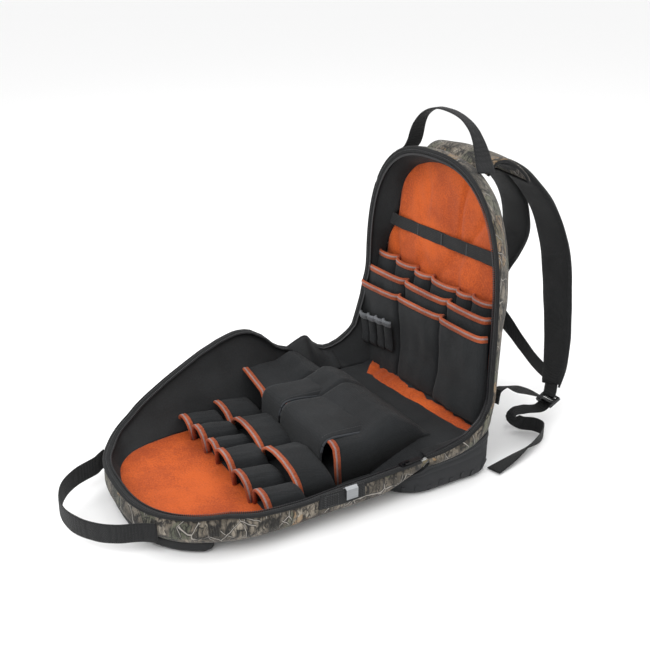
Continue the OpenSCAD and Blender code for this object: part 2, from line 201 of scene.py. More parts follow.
def strap(name, path, across, width, thick, mat, count=60, sides=16, square=0.35, crown=0.0,
          rib=0.0, **kw):
    """A strap along control points, each (x, y, z); across is one vector or one per point."""
    p = np.array(path, float)
    a = np.array(across, float)
    a = np.tile(a, (len(p), 1)) if a.ndim == 1 else a
    wd = np.full(len(p), float(width)) if np.isscalar(width) else np.array(width, float)
    s = spline(np.hstack([p, a, wd[:, None]]), count)
    rings = strap_rings(s[:, :3], s[:, 3:6], s[:, 6], thick, sides, square, crown)
    if rib:
        rings = crumple(rings, (26, rib))
    return grid_piece(name, rings, mat, close_v=True, caps=True, **kw)


def tube(name, path, radius, mat, sides=8, **kw):
    """A round cord along a path of points that are already close together."""
    path = np.asarray(path, float)
    t = unit(np.gradient(path, axis=0))
    up = np.where(np.abs(t[:, 2:3]) > 0.9, np.array([[0.0, 1, 0]]), np.array([[0.0, 0, 1]]))
    w = unit(np.cross(t, up))
    n = np.cross(w, t)
    rings = [path + w * radius * math.cos(a) + n * radius * math.sin(a)
             for a in np.linspace(0, 2 * math.pi, sides, endpoint=False)]
    return grid_piece(name, np.stack(rings, 1), mat, close_v=True, caps=True, **kw)


BOX_FACES = [(0, 1, 2, 3), (7, 6, 5, 4), (0, 4, 5, 1), (1, 5, 6, 2), (2, 6, 7, 3), (3, 7, 4, 0)]


def beads(name, path, across, size, pitch, mat, **kw):
    """A row of small blocks along a path: stitches, or the coil of a zip. size is along, across, up."""
    p = np.asarray(path, float)
    across = np.asarray(across, float)
    across = np.tile(across, (len(p), 1)) if across.ndim == 1 else across
    run = np.concatenate([[0], np.cumsum(np.linalg.norm(np.diff(p, axis=0), axis=1))])
    at = np.arange(pitch / 2, run[-1], pitch)
    q = np.stack([np.interp(at, run, p[:, k]) for k in range(3)], 1)
    a = np.stack([np.interp(at, run, across[:, k]) for k in range(3)], 1)
    t, w, n = frames(q, a)
    l, b, h = size
    corners = [(-1, -1, -1), (1, -1, -1), (1, 1, -1), (-1, 1, -1),
               (-0.7, -0.7, 1), (0.7, -0.7, 1), (0.7, 0.7, 1), (-0.7, 0.7, 1)]
    verts, faces = [], []
    for i in range(len(q)):
        base = len(verts)
        for cx, cy, cz in corners:
            verts.append(q[i] + t[i] * cx * l / 2 + w[i] * cy * b / 2 + n[i] * cz * h / 2)
        faces += [tuple(base + v for v in f[::-1]) for f in BOX_FACES]
    return mesh_piece(name, verts, faces, mat, smooth=False, **kw)


# ---------------------------------------------------------------- materials

class Nodes:
    """A short way to write a procedural material."""

    def __init__(self, name, rough, metallic=0.0, sheen=0.0, specular=0.5, color=None):
        self.mat = bpy.data.materials.new(name)
        self.mat.use_nodes = True
        self.tree = self.mat.node_tree
        self.shader = self.tree.nodes["Principled BSDF"]
        self.shader.inputs["Roughness"].default_value = rough
        self.shader.inputs["Metallic"].default_value = metallic
        self.shader.inputs["Specular IOR Level"].default_value = specular
        if sheen:
            self.shader.inputs["Sheen Weight"].default_value = sheen
            self.shader.inputs["Sheen Roughness"].default_value = 0.45
        if color:
            self.shader.inputs["Base Color"].default_value = (*color, 1)
        self.mat.diffuse_color = (*(color or (0.3, 0.3, 0.3)), 1)
        coords = self.tree.nodes.new("ShaderNodeTexCoord")
        self.mm = self.node("ShaderNodeVectorMath", operation="SCALE")
        self.mm.inputs["Scale"].default_value = 1000.0
        self.join(coords.outputs["Object"], self.mm.inputs[0])
        self.mm = self.mm.outputs[0]

    def node(self, kind, **settings):
        n = self.tree.nodes.new(kind)
        for key, value in settings.items():
            setattr(n, key, value)
        return n

    def join(self, a, b):
        self.tree.links.new(a, b)

    def put(self, value, socket):
        if isinstance(value, bpy.types.NodeSocket):
            self.join(value, socket)
        else:
            socket.default_value = value

    def scaled(self, sx, sy, sz, source=None):
        n = self.node("ShaderNodeVectorMath", operation="MULTIPLY")
        self.join(source or self.mm, n.inputs[0])
        n.inputs[1].default_value = (sx, sy, sz)
        return n.outputs[0]

    def noise(self, size, detail=3.0, source=None, stretch=(1, 1, 1), rough=0.55):
        n = self.node("ShaderNodeTexNoise")
        self.join(self.scaled(stretch[0] / size, stretch[1] / size, stretch[2] / size, source),
                  n.inputs["Vector"])
        n.inputs["Scale"].default_value = 1.0
        n.inputs["Detail"].default_value = detail
        n.inputs["Roughness"].default_value = rough
        return n

    def cells(self, size, feature="F1", source=None, stretch=(1, 1, 1)):
        n = self.node("ShaderNodeTexVoronoi", feature=feature)
        self.join(self.scaled(stretch[0] / size, stretch[1] / size, stretch[2] / size, source),
                  n.inputs["Vector"])
        n.inputs["Scale"].default_value = 1.0
        return n

    def math(self, op, a, b=0.0, clamp=False):
        n = self.node("ShaderNodeMath", operation=op, use_clamp=clamp)
        self.put(a, n.inputs[0])
        self.put(b, n.inputs[1])
        return n.outputs[0]

    def step(self, value, low, high):
        n = self.node("ShaderNodeMapRange", interpolation_type="SMOOTHSTEP")
        self.join(value, n.inputs["Value"])
        n.inputs["From Min"].default_value = low
        n.inputs["From Max"].default_value = high
        return n.outputs[0]

    def ramp(self, value, *stops):
        n = self.node("ShaderNodeValToRGB")
        self.join(value, n.inputs[0])
        while len(n.color_ramp.elements) < len(stops):
            n.color_ramp.elements.new(0.5)
        for e, (at, c) in zip(n.color_ramp.elements, stops):
            e.position = at
            e.color = (*c, 1)
        return n.outputs[0]

    def mix(self, factor, a, b):
        n = self.node("ShaderNodeMix", data_type="RGBA")
        self.put(factor, n.inputs[0])
        self.put(a if isinstance(a, bpy.types.NodeSocket) else (*a, 1), n.inputs[6])
        self.put(b if isinstance(b, bpy.types.NodeSocket) else (*b, 1), n.inputs[7])
        return n.outputs[2]

    def weave(self, pitch):
        """Height of a plain weave, with threads pitch mm apart, on surfaces of any direction."""
        waves = []
        for axis in range(3):
            sep = self.node("ShaderNodeSeparateXYZ")
            self.join(self.mm, sep.inputs[0])
            waves.append(self.math("SINE", self.math("MULTIPLY", sep.outputs[axis], math.pi / pitch)))
        xy = self.math("MULTIPLY", waves[0], waves[1])
        yz = self.math("MULTIPLY", waves[1], waves[2])
        zx = self.math("MULTIPLY", waves[2], waves[0])
        return self.math("ADD", self.math("ADD", xy, yz), zx)

    def bump(self, height, depth, strength=1.0):
        n = self.node("ShaderNodeBump")
        n.inputs["Strength"].default_value = strength
        n.inputs["Distance"].default_value = depth * 0.001
        self.join(height, n.inputs["Height"])
        self.join(n.outputs[0], self.shader.inputs["Normal"])

    def color(self, value):
        self.join(value, self.shader.inputs["Base Color"])
        return self.mat


def cloth(name, light, dark, pitch=0.9, depth=0.25, rough=0.85, sheen=0.25, patch=60, grid=0.0):
    m = Nodes(name, rough, sheen=sheen, specular=0.3, color=light)
    broad = m.noise(patch, 4).outputs[0]
    fine = m.noise(2.2, 2).outputs[0]
    tone = m.math("ADD", m.math("MULTIPLY", broad, 0.6), m.math("MULTIPLY", fine, 0.4))
    out = m.mix(m.step(tone, 0.36, 0.64), dark, light)
    height = m.math("ADD", m.weave(pitch), m.math("MULTIPLY", m.noise(3.5, 3).outputs[0], 1.2))
    if grid:
        lines = None
        for axis in range(3):
            sep = m.node("ShaderNodeSeparateXYZ")
            m.join(m.mm, sep.inputs[0])
            wave = m.math("ABSOLUTE", m.math("SINE", m.math("MULTIPLY", sep.outputs[axis], math.pi / grid)))
            line = m.math("SUBTRACT", 1.0, m.step(wave, 0.02, 0.30))
            lines = line if lines is None else m.math("MAXIMUM", lines, line)
        out = m.mix(m.math("MULTIPLY", lines, 0.22), out, dark)
        height = m.math("ADD", height, m.math("MULTIPLY", lines, 1.2))
    m.bump(height, depth)
    return m.color(out)


def plain(name, color, rough, depth=0.15, size=1.2, metallic=0.0, streak=(1, 1, 1), shade=0.75,
          specular=0.5):
    m = Nodes(name, rough, metallic=metallic, specular=specular, color=color)
    grain = m.noise(size, 3, stretch=streak).outputs[0]
    broad = m.noise(30, 3).outputs[0]
    dark = tuple(c * shade for c in color)
    m.bump(grain, depth)
    tone = m.math("ADD", m.math("MULTIPLY", broad, 0.5), m.math("MULTIPLY", grain, 0.5))
    return m.color(m.mix(m.step(tone, 0.3, 0.7), dark, color))


def camouflage(name):
    """Bark, cracks, twigs and dead leaves, all from noise and cells."""
    m = Nodes(name, 0.8, sheen=0.15, specular=0.25, color=(0.16, 0.14, 0.11))
    warp = m.node("ShaderNodeVectorMath", operation="MULTIPLY_ADD")
    m.join(m.noise(22, 3).outputs[1], warp.inputs[0])
    warp.inputs[1].default_value = (16, 16, 16)
    m.join(m.mm, warp.inputs[2])
    bent = warp.outputs[0]
    broad = m.noise(34, 4, source=bent).outputs[0]
    ground = m.ramp(broad, (0.30, (0.030, 0.027, 0.021)), (0.43, (0.105, 0.089, 0.068)),
                    (0.55, (0.215, 0.185, 0.145)), (0.68, (0.36, 0.32, 0.26)))
    grain = m.noise(2.6, 5, source=bent, stretch=(1, 1, 0.10)).outputs[0]
    ground = m.mix(m.math("MULTIPLY", m.step(grain, 0.44, 0.60), 0.62), ground, (0.045, 0.038, 0.03))
    leaf = m.cells(27, source=bent, stretch=(1, 1, 0.8))
    pick = m.node("ShaderNodeSeparateColor")
    m.join(leaf.outputs["Color"], pick.inputs[0])
    tan = m.math("GREATER_THAN", pick.outputs[0], 0.86)
    green = m.math("LESS_THAN", pick.outputs[1], 0.13)
    ground = m.mix(m.math("MULTIPLY", tan, 0.70), ground, (0.30, 0.195, 0.10))
    ground = m.mix(m.math("MULTIPLY", green, 0.60), ground, (0.075, 0.088, 0.055))
    for size, tall, wide in ((17, 0.30, 0.16), (7, 0.25, 0.12)):
        cracks = m.cells(size, "DISTANCE_TO_EDGE", source=bent, stretch=(1, 1, tall)).outputs["Distance"]
        dark = m.math("SUBTRACT", 1.0, m.step(cracks, 0.01, wide))
        dark = m.math("MULTIPLY", dark, m.step(m.noise(size * 1.3, 2).outputs[0], 0.40, 0.52))
        ground = m.mix(m.math("MULTIPLY", dark, 0.95), ground, (0.010, 0.009, 0.008))
    for size, seed, thin in ((58, 31.0, 0.011), (41, 77.0, 0.013)):
        shift = m.node("ShaderNodeVectorMath", operation="MULTIPLY_ADD")
        m.join(m.noise(30, 2).outputs[1], shift.inputs[0])
        shift.inputs[1].default_value = (14, 14, 14)
        base = m.node("ShaderNodeVectorMath", operation="ADD")
        m.join(m.mm, base.inputs[0])
        base.inputs[1].default_value = (seed, seed * 2, -seed)
        m.join(base.outputs[0], shift.inputs[2])
        ridge = m.cells(size, "DISTANCE_TO_EDGE", source=shift.outputs[0], stretch=(1, 1, 0.7))
        ridge = ridge.outputs["Distance"]
        seen = m.step(m.noise(38, 1).outputs[0], 0.46, 0.52)
        twig = m.math("MULTIPLY", m.math("SUBTRACT", 1.0, m.step(ridge, thin * 0.5, thin)), seen)
        edge = m.math("MULTIPLY", m.math("SUBTRACT", 1.0, m.step(ridge, thin, thin * 3.0)), seen)
        ground = m.mix(m.math("MULTIPLY", edge, 0.85), ground, (0.012, 0.011, 0.010))
        ground = m.mix(m.math("MULTIPLY", twig, 0.80), ground, (0.40, 0.37, 0.33))
    m.bump(m.math("ADD", m.weave(0.9), m.noise(3, 3).outputs[0]), 0.22)
    return m.color(ground)


CAMO = camouflage("camo_cloth")
BLACK = cloth("black_cloth", (0.0150, 0.0165, 0.0180), (0.0080, 0.0090, 0.0100), pitch=0.8, depth=0.14,
              sheen=0.04)
LINING = cloth("black_lining", (0.0115, 0.0125, 0.0135), (0.0060, 0.0066, 0.0072), pitch=0.8, depth=0.04,
               rough=0.7, sheen=0.05)
ORANGE = cloth("orange_lining", (0.56, 0.098, 0.012), (0.30, 0.044, 0.006), pitch=0.8, depth=0.08,
               rough=0.75, sheen=0.04, patch=90, grid=4.0)
BINDING = cloth("orange_binding", (0.42, 0.088, 0.026), (0.24, 0.044, 0.013), pitch=0.8, depth=0.12,
                sheen=0.05)
LINE = cloth("light_line", (0.30, 0.20, 0.19), (0.20, 0.13, 0.125), pitch=0.8, depth=0.1, sheen=0.05)
GREY = cloth("grey_binding", (0.17, 0.175, 0.19), (0.09, 0.095, 0.10), pitch=0.8, depth=0.12, sheen=0.05)
WEB = cloth("webbing", (0.0125, 0.0130, 0.0138), (0.0065, 0.0068, 0.0072), pitch=1.3, depth=0.3,
            rough=0.8, sheen=0.06)
MESH = cloth("air_mesh", (0.014, 0.0145, 0.0155), (0.005, 0.005, 0.0055), pitch=2.2, depth=0.6,
             rough=0.9, sheen=0.05, patch=40)
PAD = cloth("strap_cloth", (0.0115, 0.0120, 0.0128), (0.0065, 0.0068, 0.0072), pitch=0.9,
            depth=0.15, sheen=0.06)
TAPE = cloth("zip_tape", (0.0115, 0.0120, 0.0128), (0.0065, 0.0068, 0.0072), pitch=0.8, depth=0.1, sheen=0.05)
EDGE = cloth("flap_edge_cloth", (0.042, 0.046, 0.052), (0.026, 0.029, 0.033), pitch=0.8, depth=0.1,
             sheen=0.05)
THREAD = plain("black_thread", (0.040, 0.042, 0.045), 0.6, size=0.8)
COIL = plain("zip_coil", (0.020, 0.020, 0.022), 0.4, size=0.8, specular=0.4)
RUBBER = plain("boot_rubber", (0.018, 0.019, 0.021), 0.65, depth=0.25, size=1.6, shade=0.7, specular=0.3)
MOULD = plain("moulded_foam", (0.012, 0.0125, 0.0135), 0.65, depth=0.2, size=2.0, specular=0.3)
PLASTIC = plain("buckle_plastic", (0.009, 0.009, 0.0098), 0.45, depth=0.08, size=1.5, specular=0.4)
STEEL = plain("clip_steel", (0.30, 0.31, 0.32), 0.38, depth=0.05, size=1.0, metallic=1.0,
              streak=(1, 0.05, 1), shade=0.8)
ZIP_METAL = plain("zip_metal", (0.05, 0.05, 0.055), 0.4, depth=0.05, metallic=1.0)
FOAM = plain("white_foam", (0.72, 0.72, 0.70), 0.9, size=2.5)
BOARD = plain("stiff_board", (0.10, 0.10, 0.11), 0.6, size=3.0)


# ---------------------------------------------------------------- back half

HALF_W, ARCH_Z, SPRING_Z = 165.0, 450.0, 230.0
ARCH_ANGLES = [math.radians(a) for a in range(4, 177, 4)]

# Each station of the zip edge: rim (x, y, z), where its wall ends at the back (x, y, z), and
# where the lining ends at the back (x, y, z).
NEAR_LOW = [
    ((162, -27, 59.5), (162, -27, 49), (140, -25, 61)),
    ((163, -10, 61.5), (163, -8, 50), (140, -6, 61)),
    ((164, 8, 65), (163, 12, 51), (140, 16, 61)),
    ((165, 25, 70), (162, 30, 53), (139, 40, 61)),
    ((166, 40, 76), (161, 50, 58), (139, 58, 61)),
    ((166, 52, 84), (158, 68, 64), (138, 72, 62)),
    ((167, 60, 91), (154, 82, 69), (138, 82, 64)),
    ((167, 66, 98), (148, 91, 78), (137, 88, 74)),
    ((167, 72, 110), (143, 97, 95), (135, 93, 92)),
    ((167, 76, 122), (141, 101, 112), (134, 97, 112)),
    ((167, 77, 134), (140, 103, 134), (133, 99, 134)),
]
FAR_LOW = [
    ((166, 75, 217), (155, 106, 215), (150, 102, 215)),
    ((167, 72, 203), (152, 105, 199), (147, 101, 199)),
    ((168, 68, 178), (150, 104, 174), (144, 100, 174)),
    ((171, 62, 150), (150, 103, 145), (142, 99, 145)),
    ((174, 56, 125), (152, 102, 115), (142, 97, 115)),
    ((178, 44, 109), (154, 97, 88), (142, 92, 88)),
    ((181, 30, 98), (158, 90, 64), (142, 84, 66)),
    ((184, 15, 91), (161, 66, 58), (143, 64, 62)),
    ((186, 0, 88.5), (163, 36, 54), (144, 34, 61)),
    ((187, -10, 92), (163, 12, 50), (144, 12, 60)),
]


def wall_y(z):
    return along(z, (60, 90), (90, 96), (120, 103), (181, 104), (219, 106), (250, 111))


def far_edge(z):
    return along(z, (215, 1.06), (230, 1.10), (262, 1.10), (300, 0.97), (335, 0.92), (370, 0.96), (410, 1.04))


def back_stations():
    out = list(NEAR_LOW)
    for z in (150, 166, 182, 198, 214, SPRING_Z):
        out.append(((166, 77, z), (140, wall_y(z), z), (133, wall_y(z) - 4, z)))
    for a in ARCH_ANGLES:
        s, side = math.sin(a), 1 if a < math.pi / 2 else -1
        w = side * arch(s)
        z = SPRING_Z + 196 * s
        reach = 133 if side > 0 else 142 * far_edge(z)
        out.append(((HALF_W * w, 77, SPRING_Z + (ARCH_Z - SPRING_Z) * s),
                    ((140 if side > 0 else 142 * far_edge(z) + 5) * w, wall_y(z), SPRING_Z + 207 * s),
                    (reach * w, wall_y(z) - 4, z)))
    out.append(((-166, 77, SPRING_Z), (-142 * far_edge(SPRING_Z) - 5, wall_y(SPRING_Z), SPRING_Z),
                (-142 * far_edge(SPRING_Z), wall_y(SPRING_Z) - 4, SPRING_Z)))
    for three in FAR_LOW:
        out.append(tuple((-p[0], p[1], p[2]) for p in three))
    return np.array(out, float)


BACK = back_stations()
RIM, WALL_END, LINING_END = BACK[:, 0], BACK[:, 1], BACK[:, 2]


def inward(points):
    """Unit vectors towards the middle of the back half, in the X-Z plane."""
    d = np.array([[0.0, 0, 1]]) * np.minimum(SPRING_Z, points[:, 2:3]) - points * [[1, 0, 1]]
    return unit(d)


def back_half():
    inn = inward(RIM)
    rows = []
    for t in np.linspace(0, 1, 8):
        rows.append(RIM + (WALL_END - RIM) * t - inn * 4.0 * math.sin(math.pi * t))
    for a in (30, 60, 90):
        a = math.radians(a)
        rows.append(WALL_END + inward(WALL_END) * 14 * (1 - math.cos(a)) + [[0, 7 * math.sin(a), 0]])
    wall = np.stack(rows, 1)
    soft = wobble(wall, 45, 3.0)[..., None] * 1.6
    wall[:, 1:-1] -= (inn[:, None, :] * soft)[:, 1:-1]
    grid_piece("back_outer_wall", wall, [CAMO, LINING], body="pack", node="back_shell",
               slot="camo_fabric", thick=2.0, offset=1.0)

    rows = []
    start = RIM + inn * 3.0 + [[0, 1.0, 0]]
    for t in np.linspace(0, 1, 12):
        rows.append(start + (LINING_END - start) * t + inn * 3.0 * math.sin(math.pi * t))
    lining = np.stack(rows, 1)
    pull = (wobble(lining, 30, 5.0) * 3.0 + wobble(lining, 12, 9.0) * 1.0)[..., None]
    lining[:, 1:-1] += (inn[:, None, :] * pull)[:, 1:-1]
    grid_piece("back_side_lining", lining, LINING, body="pack", slot="pocket_fabric", thick=1.2)

    # The back face of the shell, behind the padding.
    def face(half, top_h, off, z0, count=26, across=25, far=1.0):
        rows = []
        for k in range(count):
            if k < 10:
                s, z = 0.0, z0 + (SPRING_Z - z0) * k / 10
            else:
                s = math.sin(math.radians(90 * (k - 10) / (count - 10)))
                z = SPRING_Z + top_h * s
            x = half * arch(s)
            rows.append([(x * u * (1.045 * far_edge(z) if far > 1 and u < 0 else 1.0), wall_y(z) + off, z)
                         for u in np.linspace(-1, 1, across)])
        return np.array(rows)

    panel = face(131, 199, 7.3, 62, far=1.07)
    grid_piece("back_outer_panel", panel, CAMO, body="pack", slot="camo_fabric", thick=2.0,
               offset=-1.0)

    board = face(116, 184, 3.6, 74, count=20, across=15)
    grid_piece("back_board", board, BOARD, body="pack", node="back_stiffener", thick=1.4, offset=0.0)

    lining = face(134, 197, -3.0, 60, count=60, across=70, far=1.07)
    ripple = wobble(lining, 70, 2.0) * 4.0 + wobble(lining * [1, 1, 0.5], 30, 6.0) * 2.2
    crease = np.abs(wobble(lining * [1.0, 1, 0.6], 80, 11.0))
    lining[..., 1] += ripple - 2.5 + 4.5 * np.exp(-(crease / 0.08) ** 2)
    grid_piece("back_orange_panel", lining, ORANGE, body="pack", node="back_lining",
               slot="orange_lining", thick=1.5, offset=1.0)

    # Padding on the wearer's side: a crowned cushion with sewn channels.
    pad = face(107, 172, 0, 92, count=56, across=57)
    n, m = pad.shape[:2]
    u = np.linspace(-1, 1, m)[None, :]
    v = np.linspace(0, 1, n)[:, None]
    edge = np.clip(1 - np.abs(u) ** 8, 0, 1) * np.clip(1 - np.abs(2 * v - 1) ** 10, 0, 1)
    channel = np.ones((n, m))
    for zc in (140, 200, 262, 324):
        channel = np.minimum(channel, 0.25 + 0.75 * ease(np.abs(pad[..., 2] - zc) / 14))
    channel = np.minimum(channel, 0.3 + 0.7 * ease(np.abs(np.abs(pad[..., 0]) - 34) / 12))
    front = pad.copy()
    front[..., 1] += 8.5 + 6.0 * np.sqrt(edge) * channel + wobble(pad, 30, 4) * 0.6 * edge
    back_side = pad[::-1].copy()
    back_side[..., 1] += 8.0
    grid_piece("back_padding", np.concatenate([front, back_side]), MESH, close_u=True,
               body="pack", node="back_pad", slot="mesh_pad", pad=0.7)


def rim_zip(name, rim, inn, front, body, node):
    """Piping, tape and coil along a zip edge. inn points inwards across the tape, front out of it."""
    tube(name + "_piping", rim + front * 0.5 - inn * 0.5, 2.0, TAPE, body=body, slot="zip_tape")
    rows = []
    for d in (0.0, 3.0, 6.0, 9.0):
        rows.append(rim + inn * d + front * (1.2 - 0.03 * d * d))
    tape = np.stack(rows, 1)
    grid_piece(name + "_tape", tape, TAPE, body=body, node=node, slot="zip_tape", thick=1.4,
               offset=0.0)
    path = rim + inn * 9.6 + front * 0.2
    beads(name + "_coil", path, inn, (1.7, 3.2, 2.2), 2.5, COIL, body=body, slot="zip_tape")
    stitch = rim + inn * 2.8 + front * 2.0
    beads(name + "_stitch", stitch, inn, (2.0, 0.7, 0.5), 3.2, THREAD, body=body, slot="zip_tape")


def pocket(name, xa, xb, length, height, place, body, mat=BLACK, node=(), blend=None, foot=0.55,
           profile=None, nu=26, nv=18, seed=1.0, bind_mats=None, bind_w=9.0, slack=1.0):
    """A sewn pocket. place(x, v, w) maps across, mouth-to-foot and outwards to model space."""
    us = np.linspace(0, 1, nu)
    shape = (np.interp(us, *zip(*profile)) if profile
             else np.clip(1 - np.abs(2 * us - 1) ** 2.6, 0, 1) ** 0.55)
    grid = np.zeros((nu, nv, 3))
    for j, v in enumerate(np.linspace(0, 1, nv)):
        w = height * (1 + (foot - 1) * v)
        if v > 0.86:
            w *= math.sqrt(max(0.0, 1 - ((v - 0.86) / 0.14) ** 2)) * 0.95 + 0.05
        for i, u in enumerate(us):
            x = xa + (xb - xa) * u
            fold = slack * noise.noise(Vector((x / 26 + seed, v * length / 40, seed * 3.1)))
            grid[i, j] = (x, v * length, max(0.0, shape[i] * (w + fold * 3.0 * min(1, v * 4))))
    world = np.array([[place(*grid[i, j]) for j in range(nv)] for i in range(nu)])
    kw = dict(body=body, blend=blend, slot="pocket_fabric")
    grid_piece(name, world, mat, node=node, thick=1.8, offset=0.0, **kw)
    # The binding folds over the mouth: inside, over the edge, and bind_w mm down the outside.
    mouth = grid[:, 0]
    n2 = unit(np.stack([-np.gradient(mouth[:, 2]), np.gradient(mouth[:, 0])], 1))
    rows = []
    for v, out in ((5.0, -1.7), (0.6, -1.8), (-0.9, 0.0), (-0.2, 1.9), (1.2, 2.2), (1.5, 2.5),
                   (3.4, 2.6), (3.7, 2.3), (bind_w - 1, 2.2), (bind_w, 1.2)):
        rows.append([place(x + dx * out, v, max(-0.5, w + dz * out))
                     for (x, _, w), (dx, dz) in zip(mouth, n2)])
    strip = np.array(rows)
    mats = bind_mats or [BINDING, LINE]
    line_rows = (4, 5, 6) if len(mats) > 1 else ()
    grid_piece(name + "_binding", strip, mats, row_index=lambda i, j: int(i in line_rows),
               thick=0.7, offset=0.0, **dict(kw, slot="orange_lining"))


BACK_TUBE_X = [-164, -114, -60, -18, 47, 82, 127]
BACK_MID_X = [-172, -64, 45, 138]
BACK_LOW_X = [-171, -66, 47, 148]


def standing(top, off, rise=0.0):
    """Placement on the back half: v runs down from top, w runs out to -Y, off mm off the lining."""
    def place(x, v, w):
        z = top + rise * x - v
        return (x, wall_y(z) - 4 - off * (1 - 0.6 * min(1.0, v / 140)) - w, z)
    return place


SQUARE = [(0, 0), (0.03, 0.60), (0.09, 0.86), (0.3, 0.98), (0.7, 1), (0.91, 0.86), (0.97, 0.60), (1, 0)]


def back_pockets():
    for k in range(6):
        top = (256, 254, 252, 252, 253, 255)[k]
        pocket(f"back_tube_{k + 1}", BACK_TUBE_X[k] + 0.5, BACK_TUBE_X[k + 1] - 0.5, 84, 13,
               standing(top, 0.5), "pack", node="back_tubes", seed=k * 1.7, foot=0.9, bind_w=8.0)
    for k in range(3):
        top = (235, 235, 236)[k]
        pocket(f"back_mid_{k + 1}", BACK_MID_X[k] + 0.5, BACK_MID_X[k + 1] - 0.5, 114, 12,
               standing(top, 14, 0.02), "pack", node="back_mid_pockets", seed=9 + k * 2.3,
               foot=0.85, profile=SQUARE)
    for k in range(3):
        top = (212, 213, 214)[k]
        low = standing(top, 25, (0.05, 0.035, 0.02)[k])

        def place(x, v, w, low=low, k=k):
            lean = 0.0
            if k == 2:
                lean = -v * 0.10 * (1 - max(0.0, min(1.0, (x - 47) / 100)))
            if k == 1:
                lean = -v * 0.10 * max(0.0, min(1.0, (x + 66) / 113))
            return low(x + lean, v, w)

        pocket(f"back_low_{k + 1}", BACK_LOW_X[k] + 0.5, BACK_LOW_X[k + 1] - 0.5, 146,
               (10, 10, 13)[k], place, "pack", node="back_low_pockets", seed=20 + k * 3.1,
               foot=(0.7, 0.8, 1.1)[k], nv=26, profile=SQUARE)
    # Four pen sleeves with grey tops, sewn on the lowest pocket.
    for k in range(4):
        xa = -157 + 22.5 * k
        pocket(f"pen_sleeve_{k + 1}", xa, xa + 19, 54, 5.0, standing(153 + 3.2 * k, 37), "pack",
               node="pen_sleeves", seed=40 + k, foot=0.8, nu=14, nv=12, bind_mats=[GREY], bind_w=9.0)
    # The elastic band runs from wall to wall and stands off the lining between its bar tacks.
    pts = [(-138, 101, 316), (-110, 100, 315), (-60, 102, 314), (0, 103, 314.5), (60, 102, 316),
           (110, 99, 319), (144, 94, 322)]
    strap("elastic_band_web", pts, (0, 0, 1), 20, 1.6, WEB, count=70, rib=1.2, body="pack",
          node="elastic_band", slot="webbing")
    for x in (-60, 0, 60):
        beads(f"band_tack_{x + 60}", [(x, 101.0, 306), (x, 101.0, 323)], (1, 0, 0),
              (1.6, 3.4, 0.8), 2.2, THREAD, body="pack", slot="webbing")
    # The puckered orange strip where the floor meets the back, and the black floor before it.
    n, m = 120, 14
    strip = np.zeros((n, m, 3))
    for i, u in enumerate(np.linspace(0, 1, n)):
        for j, v in enumerate(np.linspace(0, 1, m)):
            back = np.array([-145 + 275 * u, 82 - 4 * u, 64])
            fore = np.array([-104 + 240 * u, 40 + 22 * u, 61.2])
            p = back + (fore - back) * v
            pucker = noise.noise(Vector((u * 22 + v * 2.5, v * 1.2, 3.3)))
            p[2] += (3.6 * pucker + 4.0) * math.sin(math.pi * min(1, v * 1.05)) ** 0.6
            strip[i, j] = p
    grid_piece("floor_orange_strip", strip, ORANGE, body="pack", node="floor_liner",
               slot="orange_lining", thick=1.2, offset=0.0)


# ---------------------------------------------------------------- front half

BEND_Y, TIP_Y = -230.0, -426.0


def splay(y):
    return along(y, (-414, 0), (-383, 19), (-350, 17), (-300, 14), (-251, 18), (-200, 24),
                 (-174, 28), (-116, 28), (-90, 26), (-60, 24))


def far_rim_z(y):
    return along(y, (-426, 57), (-400, 52), (-383, 51), (-350, 64), (-335, 74), (-300, 93),
                 (-251, 116), (-220, 130), (-190, 140), (-160, 147), (-146, 148), (-132, 145), (-108, 130),
                 (-86, 108), (-60, 99))


def near_rim_z(y):
    return along(y, (-426, 57), (-369, 60), (-330, 62), (-294, 55), (-257, 53), (-222, 51.5), (-181, 54),
                 (-132, 55), (-75, 57), (-40, 59))


def under_z(y):
    return along(y, (-96, 17.5), (-36, 43.5))


def floor_z(y):
    return along(y, (-96, 26.5), (-36, 51.5), (-8, 61.0), (60, 61.2))


def far_floor(s):
    return 133 * arch(s, 3.2)


def lid_stations():
    """Rim, bottom corner of the outer wall, and edge of the floor, from the near hinge round."""
    out = []
    for y in range(-40, -230, -10):
        z = near_rim_z(y)
        out.append(((164, y, z), (156, y, under_z(y) + 3), (149, y, floor_z(y))))
    for a in [math.radians(v) for v in range(0, 181, 3)]:
        s = math.sin(a)
        y = BEND_Y + (TIP_Y - BEND_Y) * s
        yf = BEND_Y + (-404 - BEND_Y) * s
        if a <= math.pi / 2:
            out.append(((164 * arch(s), y, near_rim_z(y)), (157 * arch(s), y + 5 * s, 20.5),
                        (149 * arch(s), yf, 26.5)))
        else:
            lean = splay(y) * (1 - s ** 6)
            out.append(((-164 * arch(s) - lean, y, far_rim_z(y)),
                        (-157 * arch(s) - 0.3 * lean, y + 5 * s, 20.5), (-far_floor(s), yf, 26.5)))
    for y in range(-220, -59, 10):
        out.append(((-164 - splay(y), y, far_rim_z(y)), (-166, y, under_z(y) + 3),
                    (-133 - 0.05 * (y + 230), y, floor_z(y))))
    return np.array(out, float)


LID = lid_stations()
LID_RIM, LID_CORNER, LID_FLOOR = LID[:, 0], LID[:, 1], LID[:, 2]


def flat_inward(points, target):
    return unit((target - points) * [[1, 1, 0]])


